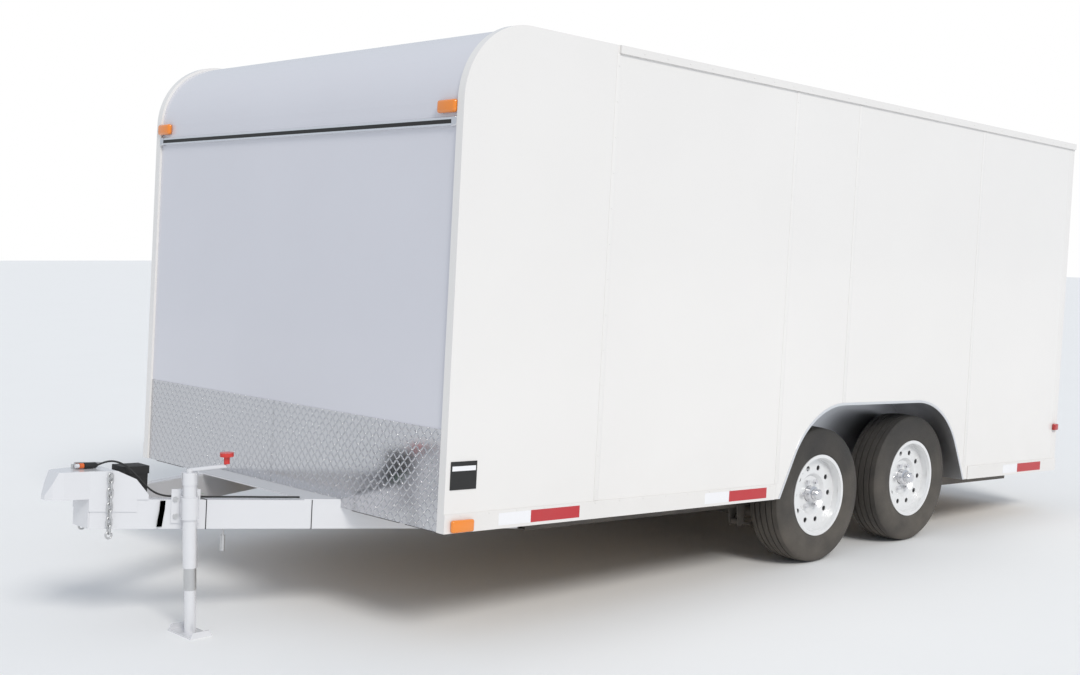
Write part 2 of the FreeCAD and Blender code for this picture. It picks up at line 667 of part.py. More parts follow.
def rim_shape():
    """A modular steel wheel: barrel with flanges, and a pierced disc."""
    seat = BEAD_R
    inside = seat - RIM_WALL
    lip = RIM_HALF - BEAD_Y
    barrel = lathe(radial([
        (seat, -BEAD_Y), (FLANGE_R, -BEAD_Y - 2.0), (FLANGE_R, -RIM_HALF), (inside + 6.0, -RIM_HALF),
        (inside, -RIM_HALF + lip), (inside, RIM_HALF - lip), (inside + 6.0, RIM_HALF),
        (FLANGE_R, RIM_HALF), (FLANGE_R, BEAD_Y + 2.0), (seat, BEAD_Y)]))
    disc = lathe(radial([
        (CENTRE_HOLE_R, DISC_Y), (92.0, DISC_Y), (108.0, DISC_Y + 16.0), (inside, DISC_Y + 16.0),
        (inside, DISC_Y + 16.0 + DISC_T), (106.0, DISC_Y + 16.0 + DISC_T), (90.0, DISC_Y + DISC_T),
        (CENTRE_HOLE_R, DISC_Y + DISC_T)]))
    for index in range(DISC_HOLES):
        turn = 2.0 * math.pi * index / DISC_HOLES
        x, z = DISC_HOLE_AT * math.cos(turn), DISC_HOLE_AT * math.sin(turn)
        disc = disc.cut(rod(DISC_HOLE_R, (x, DISC_Y, z), (x, DISC_Y + 30.0, z)))
    return barrel.fuse(disc).removeSplitter()


def hub_shape():
    """Brake drum, hub and grease cap, with the wheel nuts on the disc."""
    hub = lathe(radial([
        (0.0, -75.0), (DRUM_R, -75.0), (DRUM_R, DISC_Y - 12.0), (92.0 - 2.0, DISC_Y),
        (CENTRE_HOLE_R - 2.0, DISC_Y), (CENTRE_HOLE_R - 2.0, DISC_Y + 34.0),
        (HUB_CAP_R, DISC_Y + 38.0), (HUB_CAP_R, HUB_CAP_END - 6.0), (HUB_CAP_R - 6.0, HUB_CAP_END),
        (0.0, HUB_CAP_END)]))
    hub = hub.cut(rod(SPINDLE_R + SPINDLE_PLAY, (0, -76.0, 0), (0, 50.0, 0)))
    nuts = []
    for index in range(STUDS):
        turn = 2.0 * math.pi * index / STUDS
        x, z = STUD_AT * math.cos(turn), STUD_AT * math.sin(turn)
        nuts.append(hexagon_bar(11.5, (x, DISC_Y + DISC_T, z), (x, DISC_Y + DISC_T + 20.0, z)))
    return Part.makeCompound([hub] + nuts)


def at_wheel(shape, axle_x, side):
    """Moves a wheel piece from its own centre to one of the four wheel places."""
    placed = shape if side > 0 else mirrored(shape)
    placed = placed.copy()
    placed.translate(Vector(axle_x, side * WHEEL_Y, axle_z(axle_x)))
    return placed


def beam_z(axle_x):
    return axle_z(axle_x) - AXLE_DROP


def spring_eyes(axle_x):
    """Front and rear eye centres of a spring; the inner eyes follow the tilted equalizer."""
    eye_z = RAIL_BOTTOM - HANGER_DROP
    lift = axle_z(axle_x) - MEAN_AXLE_Z
    front_z, rear_z = eye_z, eye_z
    if axle_x > AXLE_PAIR_X:
        rear_z += 2.0 * lift
    else:
        front_z += 2.0 * lift
    half = SPRING_SPAN / 2.0
    return (axle_x + half, front_z), (axle_x - half, rear_z)


def leaf(eyes, top, bottom, share):
    """One leaf of a spring: an arc band below the line through the eyes."""
    (xf, zf), (xr, zr) = eyes
    middle_x, middle_z = (xf + xr) / 2.0, (zf + zr) / 2.0
    half = math.hypot(xf - xr, zf - zr) / 2.0
    tilt = math.atan2(zf - zr, xf - xr)
    sag = SPRING_SAG
    radius = (half * half + sag * sag) / (2.0 * sag)
    centre = (middle_x - math.sin(tilt) * (radius - sag), middle_z + math.cos(tilt) * (radius - sag))
    swing = math.degrees(math.asin(half / radius)) * share
    down = math.degrees(tilt) - 90.0
    y = RAIL_OUT_Y - (RAIL_W + SPRING_W) / 2.0
    face = Part.Face(joined_edges([arc(centre, radius + top, down - swing, down + swing, y),
                                   arc(centre, radius + bottom, down + swing, down - swing, y)]))
    return face.extrude(Vector(0, SPRING_W, 0))


SPRING_SAG = 22.0


def spring(axle_x):
    """Three leaves and two rolled eyes."""
    eyes = spring_eyes(axle_x)
    y0 = RAIL_OUT_Y - (RAIL_W + SPRING_W) / 2.0
    body = leaf(eyes, -LEAF_THICK / 2.0, LEAF_THICK / 2.0, 1.0)
    body = body.fuse(leaf(eyes, LEAF_THICK / 2.0, 1.5 * LEAF_THICK, 0.72))
    body = body.fuse(leaf(eyes, 1.5 * LEAF_THICK, 2.5 * LEAF_THICK, 0.45))
    for x, z in eyes:
        body = body.fuse(rod(EYE_R, (x, y0, z), (x, y0 + SPRING_W, z)))
    for x, z in eyes:
        body = body.cut(rod(SPRING_PIN_R + PIN_PLAY, (x, y0 - 1.0, z), (x, y0 + SPRING_W + 1.0, z)))
    return body.removeSplitter()


def leaf_springs():
    springs = [spring(x) for x in AXLE_X]
    return Part.makeCompound(springs + [mirrored(one) for one in springs])


def spring_hangers():
    """Outer hangers with their pins, and the middle hangers that carry the equalizers."""
    pieces = []
    for x, z in (spring_eyes(AXLE_X[0])[0], spring_eyes(AXLE_X[1])[1]):
        hanger = rod(SPRING_PIN_R, (x, RAIL_IN_Y - HANGER_T, z), (x, RAIL_OUT_Y + HANGER_T, z))
        for y in (RAIL_IN_Y - HANGER_T, RAIL_OUT_Y):
            side = plate_xz([(x - 38.0, RAIL_BOTTOM + 30.0), (x + 38.0, RAIL_BOTTOM + 30.0),
                             (x + 20.0, z - 20.0), (x - 20.0, z - 20.0)], (y, y + HANGER_T))
            hanger = hanger.fuse(side)
        pieces.append(hanger.removeSplitter())
    z = RAIL_BOTTOM - HANGER_DROP
    x = AXLE_PAIR_X
    low, high = RAIL_IN_Y - 3.0 * HANGER_T, RAIL_OUT_Y + 3.0 * HANGER_T
    middle = box((x - 30.0, x + 30.0), (low, high), (RAIL_BOTTOM - 12.0, RAIL_BOTTOM))
    for y in (low, high - HANGER_T):
        middle = middle.fuse(box((x - 24.0, x + 24.0), (y, y + HANGER_T), (z - 22.0, RAIL_BOTTOM)))
    pieces.append(middle.fuse(rod(9.0, (x, low, z), (x, high, z))).removeSplitter())
    return Part.makeCompound(pieces + [mirrored(one) for one in pieces])


def equalizer():
    """A rocker of two side plates between the springs' inner eyes."""
    front = spring_eyes(AXLE_X[0])[1]
    rear = spring_eyes(AXLE_X[1])[0]
    z = RAIL_BOTTOM - HANGER_DROP
    y_low, y_high = RAIL_IN_Y - HANGER_T, RAIL_OUT_Y + HANGER_T
    body = None
    for y in (y_low, RAIL_OUT_Y):
        side = plate_xz([(front[0], front[1] + 14.0), (front[0] + 16.0, front[1]),
                         (front[0], front[1] - 16.0), (AXLE_PAIR_X, z - 24.0),
                         (rear[0], rear[1] - 16.0), (rear[0] - 16.0, rear[1]),
                         (rear[0], rear[1] + 14.0), (AXLE_PAIR_X, z + EQUALIZER_HALF_H)],
                        (y, y + HANGER_T))
        body = side if body is None else body.fuse(side)
    for x, pin_z in (front, rear):
        body = body.fuse(rod(SPRING_PIN_R, (x, y_low, pin_z), (x, y_high, pin_z)))
    body = body.cut(rod(9.0 + PIN_PLAY, (AXLE_PAIR_X, y_low - 20.0, z), (AXLE_PAIR_X, y_high + 20.0, z)))
    return body.removeSplitter()


def equalizers():
    """The two plates of each rocker are held apart by the spring pins."""
    return both_sides(equalizer())


def axle(axle_x):
    """A drop axle: beam, drop arms, spindles and the seats on the springs."""
    z, spindle_z = beam_z(axle_x), axle_z(axle_x)
    reach = DROP_ARM_Y[1]
    body = rod(BEAM_R, (axle_x, -reach, z), (axle_x, reach, z))
    seat_y = (RAIL_OUT_Y - (RAIL_W + SPRING_W) / 2.0, RAIL_OUT_Y - (RAIL_W - SPRING_W) / 2.0)
    seat = box((axle_x - 45.0, axle_x + 45.0), seat_y, (z - BEAM_R - 25.0, z))
    seat = seat.cut(spring(axle_x).fuse(box((axle_x - 60.0, axle_x + 60.0), (seat_y[0] - 5, seat_y[1] + 5),
                                            (z - BEAM_R - 90.0, z - BEAM_R - 8.0))))
    arm = box((axle_x - 26.0, axle_x + 26.0), DROP_ARM_Y, (z, spindle_z))
    arm = arm.fuse(rod(26.0, (axle_x, DROP_ARM_Y[0], spindle_z), (axle_x, reach, spindle_z)))
    spindle = rod(SPINDLE_R, (axle_x, reach, spindle_z), (axle_x, WHEEL_Y + 48.0, spindle_z))
    for piece in (seat, arm, spindle):
        body = body.fuse(piece).fuse(mirrored(piece))
    return body.removeSplitter()


# ---- tongue fittings --------------------------------------------------------------------------
def coupler():
    """Ball coupler over the tongue's front end, with its socket open below."""
    low, high = TONGUE_TOP, COUPLER_TOP
    rear = COUPLER_REAR_X
    wide = tongue_edge(rear, 0.0) + COUPLER_T
    neck = tongue_edge(TONGUE_TIP_X, 0.0) + COUPLER_T
    half_tip = 46.0
    plan = [(rear, wide), (TONGUE_TIP_X, neck), (BALL_X, half_tip + 10.0),
            (COUPLER_TIP_X - 22.0, half_tip - 8.0), (COUPLER_TIP_X, 16.0)]
    outline = plan + [(x, -y) for x, y in reversed(plan)]
    body = plate_xy(outline, (low, high))
    side_view = [(rear - 1.0, low - 1.0), (rear - 1.0, low + 20.0), (rear + 45.0, 113.0),
                 (rear + 110.0, high), (BALL_X + 18.0, high - 5.0), (COUPLER_TIP_X + 1.0, low + 16.0),
                 (COUPLER_TIP_X + 1.0, low - 1.0)]
    body = body.common(plate_xz(side_view, (-300.0, 300.0)))
    inner = [(rear - 5.0, wide - COUPLER_T), (TONGUE_TIP_X, neck - COUPLER_T), (940.0, 52.0)]
    hollow = plate_xy(inner + [(x, -y) for x, y in reversed(inner)], (low - 1.0, high))
    top = [(rear - 6.0, low - 2.0), (rear - 6.0, low + 14.0), (rear + 45.0, 113.0 - COUPLER_T),
           (rear + 110.0, high - COUPLER_T), (941.0, high - COUPLER_T - 2.0), (941.0, low - 2.0)]
    body = body.cut(hollow.common(plate_xz(top, (-300.0, 300.0))))
    body = body.cut(box((rear - 5.0, TRAY_X[1] + 8.0), (5.0 - neck, neck - 5.0), (low - 1.0, high + 1.0)))
    skirt_x = (740.0, TONGUE_TIP_X)
    line_out = [(x, tongue_edge(x, 0.0) + COUPLER_T) for x in skirt_x]
    line_in = [(x, tongue_edge(x, 0.0)) for x in skirt_x]
    skirt = plate_xy(line_out + line_in[::-1], (-20.0, low + 1.0))
    body = body.fuse(skirt).fuse(mirrored(skirt))
    bore = rod(BALL_BORE_R, (BALL_X, 0, low - 1.0), (BALL_X, 0, low + BALL_BORE_L))
    dome = Part.makeSphere(BALL_BORE_R, Vector(BALL_X, 0, low + BALL_BORE_L))
    return body.cut(bore).cut(dome).removeSplitter()


def coupler_latch():
    """Latch block and lever on top of the coupler."""
    body = box((850.0, 935.0), (-44.0, -22.0), (COUPLER_TOP - 4.0, COUPLER_TOP + 14.0))
    lever = plate_xz([(925.0, COUPLER_TOP + 14.0), (925.0, COUPLER_TOP + 22.0),
                      (815.0, COUPLER_TOP + 18.0), (815.0, COUPLER_TOP + 12.0)], (-40.0, -26.0))
    return body.fuse(lever).cut(coupler()).removeSplitter()


def battery_box():
    rear, front = TRAY_X
    return box((rear + 12.0, front - 12.0), (-45.0, 45.0), (0.0, 118.0)).fuse(
        box((rear + 8.0, front - 8.0), (-49.0, 49.0), (118.0, 150.0))).removeSplitter()


def jack_bracket():
    """Bolted plate and clamp ring that carry the jack on the left tongue rail."""
    middle_x = (508.0 + 623.0) / 2.0
    half = (623.0 - 508.0) / 2.0
    plate = box((-half, half), (0.0, 8.0), (-65.0, 74.0))
    plate.Placement = FreeCAD.Placement(
        Vector(middle_x, tongue_edge(middle_x, 0.0), 0.0),
        FreeCAD.Rotation(Vector(0, 0, 1), -TONGUE_HALF_DEG))
    arm = box((-24.0, 24.0), (4.0, JACK_Y - tongue_edge(middle_x, 0.0)), (-40.0, 50.0))
    arm.Placement = FreeCAD.Placement(
        Vector(middle_x + 4.0, tongue_edge(middle_x, 0.0), 0.0), FreeCAD.Rotation())
    ring = plumb(rod(JACK_TUBE_R + 7.0, (0, 0, -40.0), (0, 0, 50.0)), JACK_X, JACK_Y)
    hole = plumb(rod(JACK_TUBE_R, (0, 0, -90.0), (0, 0, 90.0)), JACK_X, JACK_Y)
    return plate.fuse(arm).fuse(ring).cut(hole).cut(tongue_rail()).removeSplitter()


def jack_outer_tube():
    low, high = JACK_TUBE_Z
    tube = rod(JACK_TUBE_R, (0, 0, low), (0, 0, high))
    cap = rod(JACK_CAP_R, (0, 0, high), (0, 0, JACK_CAP_TOP))
    bore = rod(JACK_TUBE_BORE, (0, 0, low - 1.0), (0, 0, high - 4.0))
    return plumb(tube.fuse(cap).cut(bore).removeSplitter(), JACK_X, JACK_Y)


def jack_drop():
    """Ground level below the jack's own origin."""
    return -(RISE + JACK_X * math.sin(LEAN))


def jack_leg():
    """Inner tube with its foot plate, ends turned up, flat on the ground."""
    ground = jack_drop()
    tube = rod(JACK_LEG_R, (0, 0, ground + JACK_FOOT_T), (0, 0, JACK_SLEEVE_LOW))
    half_l, half_w = JACK_FOOT_L / 2.0, JACK_FOOT_W / 2.0
    foot = box((-half_w, half_w), (-half_l, half_l), (ground, ground + JACK_FOOT_T))
    for side in (-1.0, 1.0):
        lip = plate_xz([(-half_w, ground), (half_w, ground), (half_w - 12.0, ground + JACK_FOOT_LIP),
                        (12.0 - half_w, ground + JACK_FOOT_LIP)],
                       sorted((side * half_l, side * (half_l - JACK_FOOT_T))))
        foot = foot.fuse(lip)
    return plumb(tube.fuse(foot).removeSplitter(), JACK_X, JACK_Y)


def jack_sleeve():
    """Bare steel upper part of the leg, sliding in the outer tube."""
    low, high = JACK_SLEEVE_LOW, JACK_TUBE_Z[1] - JACK_TRAVEL - 10.0
    return plumb(rod(JACK_SLEEVE_R, (0, 0, low), (0, 0, high)), JACK_X, JACK_Y)


def jack_crank():
    """Crank arm on the jack's cap and its mushroom grip."""
    turn = math.radians(CRANK_TURN_DEG)
    reach_x, reach_y = CRANK_REACH * math.cos(turn), CRANK_REACH * math.sin(turn)
    hub = rod(14.0, (0, 0, JACK_CAP_TOP), (0, 0, JACK_CAP_TOP + 14.0))
    arm = rod(8.0, (0, 0, JACK_CAP_TOP + 8.0), (reach_x, reach_y, JACK_CAP_TOP + 28.0))
    return plumb(hub.fuse(arm).removeSplitter(), JACK_X, JACK_Y)


def jack_grip():
    turn = math.radians(CRANK_TURN_DEG)
    x, y = CRANK_REACH * math.cos(turn), CRANK_REACH * math.sin(turn)
    low = JACK_CAP_TOP + 36.4
    stem = rod(12.0, (x, y, low), (x, y, low + 30.0))
    head = rod(KNOB_R, (x, y, low + 30.0), (x, y, low + 46.0))
    return plumb(stem.fuse(head).removeSplitter(), JACK_X, JACK_Y)


# ---- chains, cable and ribbons ----------------------------------------------------------------
def chain_link(centre, along, flat):
    """One oblong link lying along a direction, its opening square to the flat vector."""
    straight = CHAIN_INNER / 2.0 - CHAIN_WIRE_R - 2.0
    bend = CHAIN_WIRE_R * 2.0 + 2.0
    along, flat = Vector(*along).normalize(), Vector(*flat).normalize()
    across = flat.cross(along).normalize()
    def at(a, b):
        return Vector(*centre).add(Vector(along).multiply(a)).add(Vector(across).multiply(b))
    wire = Part.Wire([
        line(at(-straight, bend), at(straight, bend)),
        Part.Arc(at(straight, bend), at(straight + bend, 0), at(straight, -bend)).toShape(),
        line(at(straight, -bend), at(-straight, -bend)),
        Part.Arc(at(-straight, -bend), at(-straight - bend, 0), at(-straight, bend)).toShape()])
    start = at(-straight, bend)
    section = Part.Wire(Part.makeCircle(CHAIN_WIRE_R, start, along))
    return wire.makePipeShell([section], True, False)


def chain_left():
    """Safety chain hanging from a bolt on the coupler's side down to its hook."""
    x, face = CHAIN_X, tongue_edge(CHAIN_X, 0.0) + COUPLER_T
    y = face + 16.0
    pitch = CHAIN_INNER - CHAIN_PLAY
    bolt_z = CHAIN_TOP + CHAIN_INNER / 2.0 - CHAIN_WIRE_R - PIN_PLAY
    bolt = rod(CHAIN_WIRE_R, (x, face + 2.0, bolt_z), (x, y + 8.0, bolt_z))
    bolt = bolt.fuse(hexagon_bar(9.0, (x, y + 8.0, bolt_z), (x, y + 14.0, bolt_z)))
    links = [bolt.cut(coupler())]
    for index in range(CHAIN_LINKS):
        flat = (1, 0, 0) if index % 2 else (0, 1, 0)
        links.append(chain_link((x, y, CHAIN_TOP - index * pitch), (0, 0, 1), flat))
    last = CHAIN_TOP - (CHAIN_LINKS - 1) * pitch
    ring = last - CHAIN_INNER / 2.0 + CHAIN_WIRE_R + PIN_PLAY - HOOK_R
    flat = Vector(0, 1, 0) if CHAIN_LINKS % 2 == 0 else Vector(1, 0, 0)
    hook = Part.makeTorus(HOOK_R, CHAIN_WIRE_R, Vector(x, y, ring), flat, -180.0, 180.0, 300.0)
    return Part.makeCompound(links + [hook])


def rounded_tube(points, radius):
    """A tube of straight runs joined by arcs as large as the two runs allow."""
    corners = [Vector(*point) for point in points]
    edges = []
    start = corners[0]
    for before, corner, after in zip(corners, corners[1:], corners[2:]):
        back, ahead = before.sub(corner), after.sub(corner)
        half_turn = (math.pi - back.getAngle(ahead)) / 2.0
        cut = 0.45 * min(back.Length, ahead.Length)
        back.normalize()
        ahead.normalize()
        enter = corner.add(Vector(back).multiply(cut))
        leave = corner.add(Vector(ahead).multiply(cut))
        bisector = back.add(ahead).normalize()
        arc_radius = cut / math.tan(half_turn)
        to_middle = arc_radius / math.cos(half_turn) - arc_radius
        middle = corner.add(Vector(bisector).multiply(to_middle))
        edges += [line(start, enter), Part.Arc(enter, middle, leave).toShape()]
        start = leave
    edges.append(line(start, corners[-1]))
    section = Part.Wire(Part.makeCircle(radius, corners[0], corners[1].sub(corners[0])))
    return Part.Wire(edges).makePipeShell([section], True, False)


def tow_cable():
    """Wiring cable from the plug on the coupler, past the battery box and back along the left rail."""
    return rounded_tube(CABLE_ROUTE, CABLE_R).cut(breakaway_plug())


def breakaway_plug():
    """Wiring plug laid on the coupler, with the cable leaving its rear end."""
    x, y, z = CABLE_ROUTE[0]
    body = rod(12.0, (x, y, z), (x + 62.0, y, z)).fuse(rod(9.5, (x + 62.0, y, z), (x + 96.0, y, z)))
    return body.removeSplitter()


def ribbon_upper():
    """A ribbon tied at the jack's bracket and laid back over the rail."""
    y = tongue_edge(540.0, 0.0)
    ribbon = plate_xz([(478.0, 46.0), (536.0, 66.0), (560.0, 76.0), (560.0, 77.2), (534.0, 67.4),
                       (478.0, 47.2)], (y - 24.0, y - 4.0))
    return ribbon.cut(jack_bracket())


def ribbon_hanging():
    """A ribbon that hangs down the outer face of the left rail."""
    y = tongue_edge(637.0, 0.0) + 0.3
    return plate_xz([(637.0, 26.0), (661.0, 26.0), (674.0, -82.0), (662.0, -72.0), (650.0, -84.0)],
                    (y, y + 1.0))


def hung_switch():
    """Small switch with a black neck that hangs under the left rail."""
    y = tongue_edge(413.0, RAIL_W / 2.0)
    neck = rod(4.0, (413.0, y, RAIL_BOTTOM - 30.0), (413.0, y, RAIL_BOTTOM))
    body = rod(10.0, (413.0, y, RAIL_BOTTOM - 95.0), (413.0, y, RAIL_BOTTOM - 30.0))
    return neck.fuse(body).removeSplitter()


NODES = {
    "main_rails": main_rails,
    "cross_members": cross_members,
    "tongue_rails": tongue_rails,
    "tongue_plates": tongue_plates,
    "rear_sill": rear_sill,
    "floor": floor,
    "side_wall_left": side_wall_left,
    "side_wall_right": side_wall_right,
    "front_wall": front_wall,
    "nose_curve": nose_curve,
    "roof": roof,
    "rear_frame": rear_frame,
    "wheel_boxes": wheel_boxes,
    "arch_trims": arch_trims,
    "bottom_rails": bottom_rails,
    "roof_edge_trims": roof_edge_trims,
    "stone_guard": stone_guard,
    "front_moulding": front_moulding,
    "ramp_hinges": ramp_hinges,
    "rear_ramp_door": rear_ramp_door,
    "ramp_bar_locks": ramp_bar_locks,
    "bar_lock_keepers": bar_lock_keepers,
    "side_hinges": side_hinges,
    "side_door": side_door,
    "side_door_handle": side_door_handle,
    "leaf_springs": leaf_springs,
    "spring_hangers": spring_hangers,
    "equalizers": equalizers,
    "axle_front": lambda: axle(AXLE_X[0]),
    "axle_rear": lambda: axle(AXLE_X[1]),
    "coupler": coupler,
    "coupler_latch": coupler_latch,
    "battery_box": battery_box,
    "jack_bracket": jack_bracket,
    "jack_outer_tube": jack_outer_tube,
    "jack_leg": jack_leg,
    "jack_sleeve": jack_sleeve,
    "jack_crank": jack_crank,
    "jack_grip": jack_grip,
    "tow_cable": tow_cable,
    "breakaway_plug": breakaway_plug,
    "ribbon_upper": ribbon_upper,
    "ribbon_hanging": ribbon_hanging,
    "hung_switch": hung_switch,
    "chain_left": chain_left,
    "chain_right": lambda: mirrored(chain_left()),
}


def wheel_nodes():
    """Tyre, rim and hub at each of the four places, each a node of its own."""
    shapes = {"tyre": tyre_shape().cut(rim_shape()), "wheel": rim_shape(), "hub": hub_shape()}
    placed = {}
    for axle_name, axle_x in zip(("front", "rear"), AXLE_X):
        for side_name, side in (("left", 1.0), ("right", -1.0)):
            for kind, shape in shapes.items():
                placed[f"{kind}_{axle_name}_{side_name}"] = at_wheel(shape, axle_x, side)
    return placed


def main():
    os.makedirs("parts", exist_ok=True)
    shapes = {name: build() for name, build in NODES.items()}
    shapes.update(wheel_nodes())
    stood = {name: on_ground(shape) for name, shape in shapes.items()}
    boxes = [shape.optimalBoundingBox(False, False) for shape in stood.values()]
    shift = -(min(one.XMin for one in boxes) + max(one.XMax for one in boxes)) / 2.0
    for name, shape in stood.items():
        shape.translate(Vector(shift, 0, 0))
        shape.exportStep(f"parts/{name}.step")
    print(f"{len(stood)} nodes, shift {shift:.4f} mm, rise {RISE:.4f} mm")


if __name__ == "__main__":
    main()
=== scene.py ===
"""Dresses the enclosed cargo trailer: finishes, lights, tape, tyres, fixings and the view."""

import json
import logging
import math
from dataclasses import dataclass, field
from enum import Enum

import bmesh
import bpy
from mathutils import Matrix, Vector


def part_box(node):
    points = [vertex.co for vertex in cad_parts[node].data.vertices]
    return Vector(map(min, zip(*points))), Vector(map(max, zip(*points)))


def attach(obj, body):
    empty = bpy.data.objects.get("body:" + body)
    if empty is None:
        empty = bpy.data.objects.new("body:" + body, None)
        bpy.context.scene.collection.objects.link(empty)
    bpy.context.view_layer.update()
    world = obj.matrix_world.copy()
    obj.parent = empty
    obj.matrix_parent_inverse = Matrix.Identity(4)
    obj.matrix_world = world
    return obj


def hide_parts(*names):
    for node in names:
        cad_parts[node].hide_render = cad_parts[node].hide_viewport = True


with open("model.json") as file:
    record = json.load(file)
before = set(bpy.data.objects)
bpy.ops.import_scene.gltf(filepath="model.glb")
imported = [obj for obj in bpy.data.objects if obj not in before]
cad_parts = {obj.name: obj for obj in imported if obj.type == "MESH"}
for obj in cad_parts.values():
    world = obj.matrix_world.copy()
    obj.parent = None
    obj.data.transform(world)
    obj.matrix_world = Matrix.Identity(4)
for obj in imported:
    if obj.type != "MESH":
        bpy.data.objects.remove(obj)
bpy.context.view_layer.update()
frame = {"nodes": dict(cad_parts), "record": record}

LOG = logging.getLogger("trailer")
HALF_WIDTH = 1.2
BODY_LENGTH = 4.877
SKIN = 0.0012


def level_matrix() -> Matrix:
    """The trailer's own level frame, read from the cargo floor's mount.

    Returns:
        The matrix from the level frame (X forward from the front wall, Z from the skirt) to the row.
    """
    mount = next(m for m in frame["record"]["mounts"] if m["name"] == "cargo_floor")
    up = Vector(mount["axis"]).normalized()
    forward = Vector((up.z, 0.0, -up.x))
    side = Vector((0.0, 1.0, 0.0))
    turn = Matrix((forward, side, up)).transposed().to_4x4()
    middle = Vector(mount["pos_m"])
    return Matrix.Translation(middle) @ turn @ Matrix.Translation((2.44, 0.0, -0.054))


LEVEL = level_matrix()


class Side(Enum):
    """The two sides of the trailer, as signs along Y."""

    LEFT = 1.0
    RIGHT = -1.0


# ---- shader groups ----------------------------------------------------------------------------
def new_group(name: str, inputs: dict, outputs: dict) -> bpy.types.ShaderNodeTree:
    """An empty shader node group with named sockets.

    Args:
        name: the group's name.
        inputs: default value by input name, a number or a colour.
        outputs: socket type by output name.

    Returns:
        The group, with a Group Input node called "in" and a Group Output node called "out".
    """
    group = bpy.data.node_groups.new(name, "ShaderNodeTree")
    for label, value in inputs.items():
        kind = "NodeSocketColor" if isinstance(value, tuple) else "NodeSocketFloat"
        group.interface.new_socket(label, in_out="INPUT", socket_type=kind).default_value = value
    for label, kind in outputs.items():
        group.interface.new_socket(label, in_out="OUTPUT", socket_type=kind)
    group.nodes.new("NodeGroupInput").name = "in"
    group.nodes.new("NodeGroupOutput").name = "out"
    return group


def noise(tree: bpy.types.NodeTree, scale: float, detail: float, stretch=(1.0, 1.0, 1.0)):
    """Noise in object coordinates, stretched along the axes; returns its node."""
    place = tree.nodes.new("ShaderNodeTexCoord")
    mapping = tree.nodes.new("ShaderNodeMapping")
    mapping.inputs["Scale"].default_value = stretch
    texture = tree.nodes.new("ShaderNodeTexNoise")
    texture.inputs["Scale"].default_value = scale
    texture.inputs["Detail"].default_value = detail
    tree.links.new(place.outputs["Object"], mapping.inputs["Vector"])
    tree.links.new(mapping.outputs["Vector"], texture.inputs["Vector"])
    return texture


def soiled_group() -> bpy.types.ShaderNodeTree:
    """Colour with soft variation and road dust that thickens towards the ground."""
    group = new_group("soiled", {"Colour": (0.8, 0.8, 0.8, 1.0), "Dust": 0.3, "Variation": 0.05},
                      {"Colour": "NodeSocketColor", "Mask": "NodeSocketFloat"})
    links = group.links
    source, sink = group.nodes["in"], group.nodes["out"]
    place = group.nodes.new("ShaderNodeTexCoord")
    split = group.nodes.new("ShaderNodeSeparateXYZ")
    links.new(place.outputs["Object"], split.inputs[0])
    height = group.nodes.new("ShaderNodeMapRange")
    for label, value in (("From Min", 0.15), ("From Max", 0.9), ("To Min", 1.0), ("To Max", 0.0)):
        height.inputs[label].default_value = value
    links.new(split.outputs["Z"], height.inputs["Value"])
    cloud = noise(group, 6.0, 8.0)
    spread = group.nodes.new("ShaderNodeMath")
    spread.operation = "MULTIPLY"
    links.new(height.outputs[0], spread.inputs[0])
    links.new(cloud.outputs["Fac"], spread.inputs[1])
    amount = group.nodes.new("ShaderNodeMath")
    amount.operation = "MULTIPLY"
    links.new(spread.outputs[0], amount.inputs[0])
    links.new(source.outputs["Dust"], amount.inputs[1])
    tint = group.nodes.new("ShaderNodeHueSaturation")
    shade = group.nodes.new("ShaderNodeMath")
    shade.operation = "MULTIPLY_ADD"
    shade.inputs[2].default_value = 1.0
    broad = noise(group, 1.3, 3.0)
    centred = group.nodes.new("ShaderNodeMath")
    centred.operation = "SUBTRACT"
    centred.inputs[1].default_value = 0.5
    links.new(broad.outputs["Fac"], centred.inputs[0])
    links.new(centred.outputs[0], shade.inputs[0])
    links.new(source.outputs["Variation"], shade.inputs[1])
    links.new(source.outputs["Colour"], tint.inputs["Color"])
    links.new(shade.outputs[0], tint.inputs["Value"])
    mix = group.nodes.new("ShaderNodeMixRGB")
    mix.inputs["Color2"].default_value = (0.36, 0.31, 0.25, 1.0)
    links.new(amount.outputs[0], mix.inputs["Fac"])
    links.new(tint.outputs["Color"], mix.inputs["Color1"])
    links.new(mix.outputs["Color"], sink.inputs["Colour"])
    links.new(amount.outputs[0], sink.inputs["Mask"])
    return group


def operate(tree: bpy.types.NodeTree, operation: str, first, second=0.0):
    """A math node fed by sockets or numbers; returns its output socket."""
    node = tree.nodes.new("ShaderNodeMath")
    node.operation = operation
    for index, value in enumerate((first, second)):
        if isinstance(value, (int, float)):
            node.inputs[index].default_value = value
        else:
            tree.links.new(value, node.inputs[index])
    return node.outputs[0]


